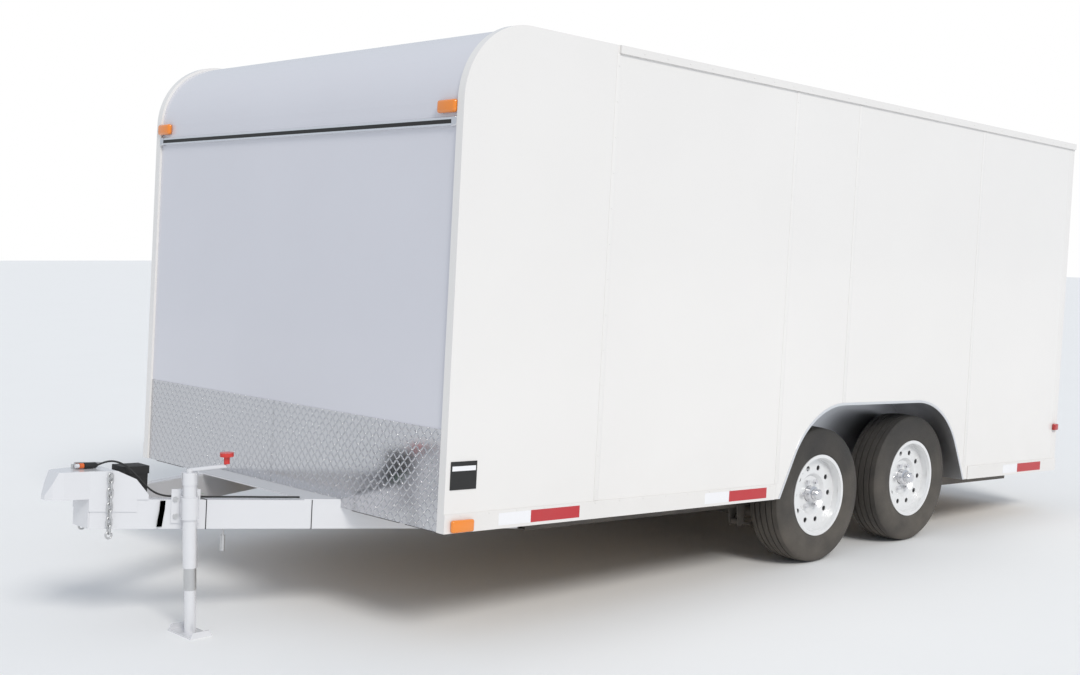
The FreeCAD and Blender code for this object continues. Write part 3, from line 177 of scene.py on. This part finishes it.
def tread_group() -> bpy.types.ShaderNodeTree:
    """Height of a diamond tread plate: raised lozenges lying two ways by turns."""
    group = new_group("tread_plate", {"Pitch": 0.034}, {"Height": "NodeSocketFloat"})
    place = group.nodes.new("ShaderNodeTexCoord")
    mapping = group.nodes.new("ShaderNodeMapping")
    mapping.inputs["Rotation"].default_value = (math.radians(45.0), 0.0, 0.0)
    group.links.new(place.outputs["Object"], mapping.inputs["Vector"])
    split = group.nodes.new("ShaderNodeSeparateXYZ")
    group.links.new(mapping.outputs["Vector"], split.inputs[0])
    pitch = group.nodes["in"].outputs["Pitch"]
    lozenges = []
    for offset, squeeze in ((0.0, (2.2, 8.0)), (0.5, (8.0, 2.2))):
        height = 1.0
        for axis, narrow in zip(("Y", "Z"), squeeze):
            cell = operate(group, "ADD", operate(group, "DIVIDE", split.outputs[axis], pitch), offset)
            centred = operate(group, "SUBTRACT", operate(group, "FRACT", cell), 0.5)
            stretched = operate(group, "MULTIPLY", centred, narrow)
            height = operate(group, "SUBTRACT", height, operate(group, "POWER",
                             operate(group, "ABSOLUTE", stretched), 2.0))
        lozenges.append(operate(group, "MAXIMUM", height, 0.0))
    tallest = operate(group, "MAXIMUM", *lozenges)
    group.links.new(operate(group, "POWER", tallest, 0.4), group.nodes["out"].inputs["Height"])
    return group


SOILED = soiled_group()
TREAD = tread_group()


class Relief(Enum):
    """Fine relief of a surface: noise scale, stretch, strength and depth in metres."""

    SMOOTH = (3.0, (1.0, 1.0, 1.0), 0.25, 0.0006)
    SHEET = (1.6, (1.0, 1.0, 0.6), 0.35, 0.0035)
    ORANGE_PEEL = (220.0, (1.0, 1.0, 1.0), 0.12, 0.0003)
    BRUSHED = (60.0, (1.0, 30.0, 1.0), 0.2, 0.0003)
    RUBBER = (160.0, (1.0, 1.0, 1.0), 0.3, 0.0005)
    GRAIN = (9.0, (1.0, 14.0, 14.0), 0.4, 0.0008)
    TREAD = (4.0, (1.0, 1.0, 1.0), 1.0, 0.0022)


@dataclass(frozen=True)
class Finish:
    """One surface finish.

    Attributes:
        name: the material's name.
        colour: linear red, green and blue.
        roughness: mean roughness.
        metallic: 0 or 1.
        relief: the fine relief.
        dust: how much road dust gathers low down.
        variation: how far the colour drifts.
        coat: clear coat weight.
        slot: the record's material slot for new pieces; not used.
    """

    name: str
    colour: tuple
    roughness: float
    metallic: float = 0.0
    relief: Relief = Relief.ORANGE_PEEL
    dust: float = 0.3
    variation: float = 0.06
    coat: float = 0.0
    slot: str = "body_white"

    def material(self) -> bpy.types.Material:
        """Builds the material once, and returns it."""
        if self.name in bpy.data.materials:
            return bpy.data.materials[self.name]
        made = bpy.data.materials.new(self.name)
        made.use_nodes = True
        tree = made.node_tree
        shader = tree.nodes["Principled BSDF"]
        shader.inputs["Metallic"].default_value = self.metallic
        shader.inputs["Coat Weight"].default_value = self.coat
        shader.inputs["Coat Roughness"].default_value = 0.08
        soiled = tree.nodes.new("ShaderNodeGroup")
        soiled.node_tree = SOILED
        soiled.inputs["Colour"].default_value = (*self.colour, 1.0)
        soiled.inputs["Dust"].default_value = self.dust
        soiled.inputs["Variation"].default_value = self.variation
        tree.links.new(soiled.outputs["Colour"], shader.inputs["Base Color"])
        scale, stretch, strength, depth = self.relief.value
        texture = noise(tree, scale, 5.0, stretch)
        rough = tree.nodes.new("ShaderNodeMapRange")
        rough.inputs["To Min"].default_value = self.roughness * 0.8
        rough.inputs["To Max"].default_value = min(1.0, self.roughness * 1.25)
        tree.links.new(texture.outputs["Fac"], rough.inputs["Value"])
        tree.links.new(rough.outputs[0], shader.inputs["Roughness"])
        bump = tree.nodes.new("ShaderNodeBump")
        bump.inputs["Strength"].default_value = strength
        bump.inputs["Distance"].default_value = depth
        height = texture.outputs["Fac"]
        if self.relief is Relief.TREAD:
            plate = tree.nodes.new("ShaderNodeGroup")
            plate.node_tree = TREAD
            height = plate.outputs["Height"]
        tree.links.new(height, bump.inputs["Height"])
        tree.links.new(bump.outputs["Normal"], shader.inputs["Normal"])
        return made


SIDE_WHITE = Finish("side_white", (0.80, 0.78, 0.76), 0.22, relief=Relief.SHEET, coat=0.6, dust=0.12)
# Same white paint as the side walls, made darker and bluer: painted shade on the front wall and nose curve,
# which face away from the sun.
FRONT_WHITE_PAINTED_SHADE = Finish("front_white", (0.66, 0.66, 0.71), 0.24, relief=Relief.SHEET, coat=0.5, dust=0.1)
TRIM_WHITE = Finish("trim_white", (0.78, 0.76, 0.74), 0.3, coat=0.4, dust=0.15)
TONGUE_WHITE = Finish("tongue_white", (0.62, 0.62, 0.64), 0.38, dust=0.35, slot="tongue_white")
WHEEL_WHITE = Finish("wheel_white", (0.76, 0.76, 0.75), 0.32, coat=0.3, dust=0.25, slot="wheel_white")
FRAME_DARK = Finish("frame_dark", (0.035, 0.035, 0.038), 0.5, dust=0.55, slot="painted_frame")
TREAD_BRIGHT = Finish("tread_bright", (0.6, 0.6, 0.62), 0.13, 1.0, Relief.TREAD, 0.1, slot="tread_plate")
BRIGHT_EDGE = Finish("bright_edge", (0.82, 0.83, 0.85), 0.18, 1.0, Relief.BRUSHED, 0.1, slot="bright_steel")
CHROME = Finish("chrome", (0.75, 0.75, 0.77), 0.1, 1.0, Relief.SMOOTH, 0.15, slot="bright_steel")
ZINC = Finish("zinc", (0.45, 0.45, 0.46), 0.38, 1.0, Relief.BRUSHED, 0.3, slot="zinc")
MILL = Finish("mill_aluminium", (0.66, 0.67, 0.7), 0.34, 1.0, Relief.SHEET, 0.2, slot="bare_aluminium")
PLYWOOD = Finish("plywood", (0.42, 0.27, 0.14), 0.6, relief=Relief.GRAIN, variation=0.5, slot="plywood")
RUBBER = Finish("rubber", (0.018, 0.018, 0.019), 0.72, relief=Relief.RUBBER, dust=0.4, slot="tyre")
BLACK = Finish("black_plastic", (0.012, 0.012, 0.013), 0.42, slot="black_plastic")
AMBER = Finish("amber_lens", (0.85, 0.24, 0.012), 0.16, coat=0.8, dust=0.05, slot="grip_red")
RED_LENS = Finish("red_lens", (0.45, 0.012, 0.012), 0.16, coat=0.8, dust=0.05, slot="grip_red")
TAPE_RED = Finish("tape_red", (0.5, 0.02, 0.03), 0.3, dust=0.15, slot="grip_red")
TAPE_WHITE = Finish("tape_white", (0.85, 0.85, 0.87), 0.25, dust=0.15)
RIBBON = Finish("ribbon_green", (0.02, 0.42, 0.09), 0.55, relief=Relief.RUBBER, dust=0.05, slot="ribbon_green")
PLUG_ORANGE = Finish("plug_orange", (0.7, 0.13, 0.02), 0.4, slot="grip_red")
GRIP_RED = Finish("grip_red", (0.55, 0.02, 0.02), 0.32, coat=0.3, slot="grip_red")

NODE_FINISH = (
    (("side_wall", "side_door", "rear_ramp_door"), SIDE_WHITE),
    # The front wall and nose curve take the darker, bluer white: painted shade.
    (("front_wall", "nose_curve"), FRONT_WHITE_PAINTED_SHADE),
    (("bottom_rails", "roof_edge_trims", "rear_frame", "rear_sill"), TRIM_WHITE),
    (("stone_guard",), TREAD_BRIGHT),
    (("arch_trims", "front_moulding"), BRIGHT_EDGE),
    (("roof", "wheel_boxes"), MILL),
    (("floor",), PLYWOOD),
    (("tongue", "coupler", "jack_outer", "jack_leg", "jack_crank", "jack_bracket"), TONGUE_WHITE),
    (("side_hinges", "side_door_handle", "ramp_hinges", "ramp_bar", "bar_lock", "chain", "jack_sleeve"), ZINC),
    (("coupler_latch",), ZINC),
    (("jack_grip",), GRIP_RED),
    (("battery_box", "tow_cable", "breakaway_plug"), BLACK),
    (("hung_switch",), ZINC),
    (("ribbon",), RIBBON),
    (("tyre",), RUBBER),
    (("wheel_front", "wheel_rear"), WHEEL_WHITE),
    (("hub",), CHROME),
)


def finish_for(node: str) -> Finish:
    """The finish of a CAD node: the one with the longest matching start of a name."""
    found, length = FRAME_DARK, 0
    for starts, finish in NODE_FINISH:
        for start in starts:
            if node.startswith(start) and len(start) > length:
                found, length = finish, len(start)
    return found


# ---- mesh building ----------------------------------------------------------------------------
def publish(name: str, mesh: bmesh.types.BMesh, finish: Finish, body: str = "trailer",
            place: Matrix = LEVEL, smooth: float = 35.0) -> bpy.types.Object:
    """Turns a finished bmesh into a piece that rides on a body.

    Args:
        name: the piece's name.
        mesh: its shape in the level frame, or in the frame that place maps from; it is freed.
        finish: its surface.
        body: the body it rides on.
        place: the matrix into the row frame, applied to the mesh.
        smooth: edges flatter than this many degrees are shaded smooth.
    """
    bmesh.ops.transform(mesh, matrix=place, verts=mesh.verts)
    bmesh.ops.recalc_face_normals(mesh, faces=mesh.faces)
    data = bpy.data.meshes.new(name)
    mesh.to_mesh(data)
    mesh.free()
    data.shade_smooth()
    data.set_sharp_from_angle(angle=math.radians(smooth))
    data.materials.append(finish.material())
    piece = bpy.data.objects.new(name, data)
    bpy.context.scene.collection.objects.link(piece)
    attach(piece, body)
    return piece


def add_block(mesh: bmesh.types.BMesh, low: tuple, high: tuple, bevel: float = 0.0) -> None:
    """Adds a block between two corners, its edges rounded by the bevel."""
    centre = [(a + b) / 2.0 for a, b in zip(low, high)]
    size = [b - a for a, b in zip(low, high)]
    place = Matrix.Translation(centre) @ Matrix.Diagonal((*size, 1.0))
    made = bmesh.ops.create_cube(mesh, size=1.0, matrix=place)
    if bevel:
        edges = list({edge for vert in made["verts"] for edge in vert.link_edges})
        bmesh.ops.bevel(mesh, geom=edges, offset=bevel, segments=3, profile=0.5,
                        affect="EDGES", material=-1)


def add_lathe(mesh: bmesh.types.BMesh, outline: list, centre: Vector, axis: Vector,
              steps: int = 48, closed: bool = False) -> None:
    """Turns an outline of (radius, along) points about an axis through a centre."""
    across = axis.orthogonal().normalized()
    verts = [mesh.verts.new(centre + across * r + axis * a) for r, a in outline]
    pairs = list(zip(verts, verts[1:] + (verts[:1] if closed else [])))
    edges = [mesh.edges.new(pair) for pair in pairs if pair[0] is not pair[1]]
    bmesh.ops.spin(mesh, geom=verts + edges, cent=centre, axis=axis, angle=2.0 * math.pi,
                   steps=steps, use_merge=True)
    bmesh.ops.remove_doubles(mesh, verts=mesh.verts, dist=1e-6)


def add_screw_head(mesh: bmesh.types.BMesh, at: Vector, out: Vector, radius: float) -> None:
    """Adds a low domed screw head with its rim on a surface."""
    outline = [(radius, 0.0), (radius * 0.9, radius * 0.3), (radius * 0.5, radius * 0.5), (0.0, radius * 0.55)]
    add_lathe(mesh, outline, at, out, steps=10)


@dataclass
class BodyTrim:
    """Seams, screws, tape and plate on the body's sides and front."""

    seams: tuple = (-0.837, -2.086, -2.608, -3.814)
    seam_width: float = 0.028
    screw_radius: float = 0.0045
    screw_pitch: float = 0.15
    arch_top: float = 0.462
    tapes: tuple = ((-0.281, -0.456, -0.736), (-1.548, -1.722, -2.004), (-4.241, -4.408, -4.687))
    tape_z: tuple = (0.013, 0.063)

    def build(self) -> None:
        """Builds every trim piece on both sides."""
        for side in Side:
            self.seam_laps(side)
            self.screws(side)
            self.tape(side)
        self.moulding_insert()
        self.number_plate()

    def over_arch(self, x: float) -> bool:
        """Whether a seam at x ends on the wheel arch."""
        return -3.8 < x < -2.12

    def on_door(self, side: Side, x: float) -> bool:
        """Whether x falls within the right side's door and its hinges."""
        return side is Side.RIGHT and -1.79 < x < -0.80

    def seam_laps(self, side: Side) -> None:
        """A thin lap with a soft edge over each sheet joint."""
        mesh = bmesh.new()
        for x in self.seams:
            if self.on_door(side, x):
                continue
            low = self.arch_top if self.over_arch(x) else 0.0762
            span = sorted((side.value * HALF_WIDTH, side.value * (HALF_WIDTH + SKIN)))
            add_block(mesh, (x - self.seam_width / 2, span[0], low),
                      (x + self.seam_width / 2, span[1], 1.9715), 0.0004)
        publish(f"seam_laps_{side.name.lower()}", mesh, SIDE_WHITE)

    def screws(self, side: Side) -> None:
        """Screw heads along the roof trim, the foot strip and the seams."""
        mesh = bmesh.new()
        out = Vector((0.0, side.value, 0.0))
        count = int(BODY_LENGTH / self.screw_pitch)
        for index in range(count):
            x = -0.08 - index * self.screw_pitch
            if x < -0.86:
                add_screw_head(mesh, Vector((x, side.value * 1.21, 1.99)), out, self.screw_radius)
            if not -3.86 < x < -2.07:
                add_screw_head(mesh, Vector((x, side.value * 1.206, 0.069)), out, self.screw_radius)
        for x in self.seams:
            if self.on_door(side, x):
                continue
            low = self.arch_top + 0.04 if self.over_arch(x) else 0.12
            for step in range(int((1.94 - low) / self.screw_pitch) + 1):
                at = Vector((x, side.value * (HALF_WIDTH + SKIN), low + step * self.screw_pitch))
                add_screw_head(mesh, at, out, self.screw_radius * 0.8)
        publish(f"side_screws_{side.name.lower()}", mesh, TRIM_WHITE)

    def tape(self, side: Side) -> None:
        """Reflective tape on the foot strip, a white length ahead of a red one."""
        for label, finish, picks in (("white", TAPE_WHITE, (0, 1)), ("red", TAPE_RED, (1, 2))):
            mesh = bmesh.new()
            for run in self.tapes:
                span = sorted((side.value * 1.206, side.value * 1.2068))
                add_block(mesh, (run[picks[1]], span[0], self.tape_z[0]),
                          (run[picks[0]], span[1], self.tape_z[1]))
            publish(f"tape_{label}_{side.name.lower()}", mesh, finish)

    def moulding_insert(self) -> None:
        """Dark insert and bright end caps on the front moulding."""
        mesh = bmesh.new()
        add_block(mesh, (0.0, -1.13, 1.588), (0.0012, 1.13, 1.604), 0.0005)
        publish("moulding_insert", mesh, BLACK)
        mesh = bmesh.new()
        for side in Side:
            y = sorted((side.value * 1.13, side.value * 1.16))
            add_block(mesh, (-0.012, y[0], 1.577), (0.004, y[1], 1.615), 0.003)
        publish("moulding_caps", mesh, CHROME)

    def number_plate(self) -> None:
        """The small plate on the left side, left blank."""
        mesh = bmesh.new()
        add_block(mesh, (-0.157, HALF_WIDTH, 0.169), (-0.023, HALF_WIDTH + 0.003, 0.280), 0.001)
        publish("blank_plate", mesh, BLACK)
        mesh = bmesh.new()
        add_block(mesh, (-0.150, HALF_WIDTH + 0.003, 0.243), (-0.030, HALF_WIDTH + 0.0036, 0.262))
        publish("blank_plate_band", mesh, TAPE_WHITE)


@dataclass
class Lamps:
    """Clearance, marker and tail lamps, each a rounded lens."""

    front_y: float = 1.12
    front_z: float = 1.655
    rear_x: float = -BODY_LENGTH
    header_z: float = 1.945

    def lamp(self, name: str, low: tuple, high: tuple, finish: Finish, bevel: float) -> None:
        """One rounded lens between two corners."""
        mesh = bmesh.new()
        add_block(mesh, low, high, bevel)
        publish(name, mesh, finish)

    def build(self) -> None:
        """Builds the lamps on both sides, the front and the rear."""
        for side in Side:
            s, tag = side.value, side.name.lower()
            y, z = s * self.front_y, self.front_z
            if side is Side.LEFT:
                y = s * 1.10
            self.lamp(f"front_lamp_{tag}", (-0.012, y - 0.056, z - 0.026), (0.012, y + 0.056, z + 0.026),
                      AMBER, 0.011)
            span = sorted((s * 1.206, s * 1.226))
            self.lamp(f"amber_marker_{tag}", (-0.141, span[0], 0.003), (-0.028, span[1], 0.053), AMBER, 0.009)
            span = sorted((s * HALF_WIDTH, s * (HALF_WIDTH + 0.022)))
            self.lamp(f"red_marker_{tag}", (-4.862, span[0], 0.249), (-4.814, span[1], 0.289), RED_LENS, 0.008)
            span = sorted((s * 1.115, s * 1.185))
            self.lamp(f"tail_lamp_{tag}", (self.rear_x - 0.02, span[0], 0.62), (self.rear_x, span[1], 0.80),
                      RED_LENS, 0.008)
        for index in range(-1, 2):
            y = index * 0.16
            self.lamp(f"header_lamp_{index + 2}", (self.rear_x - 0.018, y - 0.05, self.header_z - 0.015),
                      (self.rear_x, y + 0.05, self.header_z + 0.015), RED_LENS, 0.006)


@dataclass
class Tyre:
    """A radial trailer tyre turned as a ring, with grooves round its tread."""

    radius: float = 0.345
    half_width: float = 0.1025
    bead_radius: float = 0.1905
    bead_y: float = 0.078
    grooves: tuple = (-0.052, -0.018, 0.018, 0.052)
    groove_half: float = 0.0045
    groove_depth: float = 0.008
    steps: int = 128

    def crown(self, y: float) -> float:
        """Radius of the tread surface at y."""
        return self.radius - 0.006 * (y / 0.082) ** 2

    def outline(self) -> list:
        """The tyre's section as (radius, along) points, closed."""
        side = [(self.bead_radius + 0.002, self.bead_y), (0.209, 0.0885), (0.214, 0.094), (0.240, 0.1005),
                (0.262, self.half_width), (0.266, 0.1018), (0.270, 0.1022), (0.298, 0.0995),
                (0.322, 0.0945), (0.333, 0.088), (0.339, 0.0815)]
        tread = []
        for centre in reversed(self.grooves):
            top = centre + self.groove_half
            low = centre - self.groove_half
            tread += [(self.crown(top), top), (self.crown(top) - self.groove_depth, top - 0.0015),
                      (self.crown(low) - self.groove_depth, low + 0.0015), (self.crown(low), low)]
        far = [(r, -y) for r, y in reversed(side)]
        return side + tread + far + [(self.bead_radius, -0.06), (self.bead_radius, 0.06)]

    def build(self, node: str, body: str) -> None:
        """Builds one tyre in place of its CAD node."""
        low, high = (Vector(corner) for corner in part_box(node))
        mesh = bmesh.new()
        add_lathe(mesh, self.outline(), (low + high) / 2.0, Vector((0.0, 1.0, 0.0)), self.steps, True)
        piece = publish(f"{node}_dressed", mesh, RUBBER, body, Matrix.Identity(4), 28.0)
        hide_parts(node)


@dataclass
class Wheels:
    """The four tyres, and the valve on each wheel."""

    tyre: Tyre = field(default_factory=Tyre)

    def build(self) -> None:
        """Dresses every wheel place."""
        for axle in ("front", "rear"):
            for side in Side:
                place = f"{axle}_{side.name.lower()}"
                self.tyre.build(f"tyre_{place}", f"wheel_{place}_body")
                self.valve(place, side)

    def valve(self, place: str, side: Side) -> None:
        """A rubber valve stem through the wheel disc."""
        low, high = (Vector(corner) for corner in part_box(f"wheel_{place}"))
        centre = (low + high) / 2.0
        at = centre + Vector((0.122, side.value * 0.046, 0.122))
        mesh = bmesh.new()
        add_lathe(mesh, [(0.0, 0.0), (0.007, 0.0), (0.005, 0.012), (0.004, 0.03), (0.0, 0.031)], at,
                  Vector((0.0, side.value, 0.0)), 12)
        publish(f"valve_{place}", mesh, BLACK, f"wheel_{place}_body", Matrix.Identity(4))


@dataclass
class TongueDetail:
    """Bolts, cable, plug, ribbons and ties on the tongue; sizes in metres in the level frame."""

    half_angle: float = math.radians(25.8)
    tip: tuple = (0.907, 0.066)
    bolts: tuple = ((0.603, 0.033), (0.526, 0.041), (0.601, -0.037), (0.533, -0.037))
    route: tuple = ((0.842, 0.0, 0.1564), (0.806, 0.006, 0.172), (0.772, 0.034, 0.172),
                    (0.744, 0.080, 0.152), (0.716, 0.122, 0.110), (0.684, 0.148, 0.066),
                    (0.640, 0.164, 0.042), (0.580, 0.190, 0.038), (0.520, 0.226, 0.039),
                    (0.440, 0.262, 0.038), (0.340, 0.312, 0.039), (0.240, 0.358, 0.038),
                    (0.134, 0.412, 0.039))
    cable_radius: float = 0.004
    cable_length: float = 0.93
    ties: tuple = (0.49, 0.10)

    def edge(self, x: float) -> float:
        """Y of the left rail's outer face at x."""
        return self.tip[1] + (self.tip[0] - x) * math.tan(self.half_angle)

    def build(self) -> None:
        """Builds the small fittings on the tongue."""
        self.bracket_bolts()
        self.cable(self.plug())
        self.ribbon("ribbon_upper", ((0.478, 0.046), (0.505, 0.057), (0.536, 0.067), (0.560, 0.077)),
                    self.edge(0.540) - 0.014, 0.020, Vector((0.0, 1.0, 0.0)))
        self.ribbon("ribbon_hanging", ((0.649, 0.026), (0.651, -0.010), (0.657, -0.045), (0.662, -0.080)),
                    self.edge(0.637) + 0.0012, 0.024, Vector((1.0, 0.0, 0.0)))
        for index, x in enumerate(self.ties):
            self.tie(f"cable_tie_{index + 1}", x)

    def bracket_bolts(self) -> None:
        """Hexagon bolt heads on the jack's plate."""
        mesh = bmesh.new()
        out = Vector((math.sin(self.half_angle), math.cos(self.half_angle), 0.0))
        for x, z in self.bolts:
            at = Vector((x, self.edge(x), z)) + out * 0.008
            add_lathe(mesh, [(0.011, 0.0), (0.011, 0.007), (0.0, 0.0075)], at, out, 6)
        publish("bracket_bolts", mesh, ZINC)

    def plug(self) -> list:
        """The wiring plug on the coupler: black body, orange collar and pale tip."""
        start, axis = Vector(self.route[0]), Vector((1.0, 0.0, 0.0))
        pieces = []
        for name, finish, outline in (
                ("plug_body", BLACK, [(0.0, 0.0), (0.006, 0.0), (0.012, 0.01), (0.012, 0.058), (0.0, 0.06)]),
                ("plug_collar", PLUG_ORANGE, [(0.0, 0.06), (0.0105, 0.061), (0.0105, 0.078), (0.0, 0.079)]),
                ("plug_tip", TONGUE_WHITE, [(0.0, 0.079), (0.0085, 0.08), (0.0085, 0.095), (0.0, 0.096)])):
            mesh = bmesh.new()
            add_lathe(mesh, outline, start, axis, 24)
            pieces.append(publish(name, mesh, finish))
        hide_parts("breakaway_plug")
        return pieces

    def cable(self, plug: list) -> None:
        """The free wiring cable, as a smooth curve through the route."""
        curve = bpy.data.curves.new("tow_cable_line", "CURVE")
        curve.dimensions = "3D"
        spline = curve.splines.new("NURBS")
        spline.points.add(len(self.route) - 1)
        for point, at in zip(spline.points, self.route):
            point.co = (*(LEVEL @ Vector(at)), 1.0)
        spline.order_u = 3
        spline.use_endpoint_u = True
        curve.bevel_depth = self.cable_radius
        curve.bevel_resolution = 6
        curve.use_fill_caps = True
        curve.materials.append(BLACK.material())
        piece = bpy.data.objects.new("wiring_cable", curve)
        bpy.context.scene.collection.objects.link(piece)
        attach(piece, "trailer")
        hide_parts("tow_cable")

    def ribbon(self, name: str, line: tuple, y: float, width: float, across: Vector) -> None:
        """A narrow ribbon along a line of (x, z) points, made as a thin solid strip."""
        mesh = bmesh.new()
        rows = []
        for x, z in line:
            middle = Vector((x, y, z))
            rows.append([mesh.verts.new(middle - across * width / 2.0), mesh.verts.new(middle),
                         mesh.verts.new(middle + across * width / 2.0)])
        for low, high in zip(rows, rows[1:]):
            for index in range(2):
                mesh.faces.new((low[index], low[index + 1], high[index + 1], high[index]))
        bmesh.ops.solidify(mesh, geom=mesh.faces[:], thickness=0.0006)
        piece = publish(name + "_cloth", mesh, RIBBON)
        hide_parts(name)

    def tie(self, name: str, x: float) -> None:
        """A thin black tie round the left rail."""
        mesh = bmesh.new()
        y = self.edge(x)
        add_block(mesh, (x - 0.002, y, -0.0915), (x + 0.002, y + 0.0015, 0.0315), 0.0004)
        add_block(mesh, (x - 0.002, y - 0.05, 0.0300), (x + 0.002, y + 0.0010, 0.0315), 0.0004)
        add_block(mesh, (x - 0.002, y - 0.05, -0.0915), (x + 0.002, y + 0.0010, -0.0900), 0.0004)
        publish(name, mesh, BLACK)


def paint_nodes() -> None:
    """Gives every CAD node its finish."""
    for node, piece in frame["nodes"].items():
        material = finish_for(node).material()
        piece.data.materials.clear() if not piece.material_slots else None
        for slot in piece.material_slots:
            slot.material = material


def stage_and_view() -> None:
    """Pale floor, level light, white background and the camera."""
    mesh = bmesh.new()
    bmesh.ops.create_grid(mesh, x_segments=1, y_segments=1, size=60.0)
    data = bpy.data.meshes.new("ground")
    mesh.to_mesh(data)
    mesh.free()
    ground = bpy.data.objects.new("ground", data)
    data.materials.append(Finish("ground", (0.86, 0.86, 0.86), 0.85, dust=0.0, variation=0.02).material())
    bpy.context.scene.collection.objects.link(ground)
    world = bpy.data.worlds.new("sky")
    bpy.context.scene.world = world
    world.use_nodes = True
    tree = world.node_tree
    tree.nodes.clear()
    output = tree.nodes.new("ShaderNodeOutputWorld")
    mix = tree.nodes.new("ShaderNodeMixShader")
    light = tree.nodes.new("ShaderNodeBackground")
    light.inputs["Color"].default_value = (0.86, 0.92, 1.0, 1.0)
    light.inputs["Strength"].default_value = 0.7
    seen = tree.nodes.new("ShaderNodeBackground")
    seen.inputs["Color"].default_value = (1.0, 1.0, 1.0, 1.0)
    rays = tree.nodes.new("ShaderNodeLightPath")
    tree.links.new(rays.outputs["Is Camera Ray"], mix.inputs["Fac"])
    tree.links.new(light.outputs[0], mix.inputs[1])
    tree.links.new(seen.outputs[0], mix.inputs[2])
    tree.links.new(mix.outputs[0], output.inputs["Surface"])
    sun = bpy.data.lights.new("sun", "SUN")
    sun.energy = 1.7
    sun.angle = math.radians(18.0)
    sun.color = (1.0, 0.97, 0.92)
    lamp = bpy.data.objects.new("sun", sun)
    lamp.rotation_euler = Vector((0.25, 0.72, 0.62)).to_track_quat("Z", "Y").to_euler()
    bpy.context.scene.collection.objects.link(lamp)
    bpy.context.scene.view_settings.view_transform = "Standard"
    add_camera()


def add_camera(yaw: float = -133.243, pitch: float = -2.205, roll: float = 2.999) -> None:
    """Stands the camera ahead and left of the trailer; angles are in its level frame, in degrees."""
    yaw, pitch, roll = (math.radians(angle) for angle in (yaw, pitch, roll))
    look = Vector((math.cos(yaw) * math.cos(pitch), math.sin(yaw) * math.cos(pitch), math.sin(pitch)))
    right = look.cross(Vector((0.0, 0.0, 1.0))).normalized()
    up = right.cross(look)
    turned_right = right * math.cos(roll) + up * math.sin(roll)
    turned_up = up * math.cos(roll) - right * math.sin(roll)
    turn = Matrix((turned_right, turned_up, -look)).transposed().to_4x4()
    data = bpy.data.cameras.new("camera")
    data.lens = 48.0
    data.clip_end = 200.0
    camera = bpy.data.objects.new("camera", data)
    camera.matrix_world = LEVEL @ Matrix.Translation((3.5478, 5.4631, 0.9938)) @ turn
    bpy.context.scene.collection.objects.link(camera)
    bpy.context.scene.camera = camera


def main() -> None:
    """Dresses the trailer in order."""
    logging.basicConfig(level=logging.INFO)
    stage_and_view()
    paint_nodes()
    for part in (BodyTrim(), Lamps(), Wheels(), TongueDetail()):
        part.build()
        LOG.info("%s built", type(part).__name__)
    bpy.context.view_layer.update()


main()
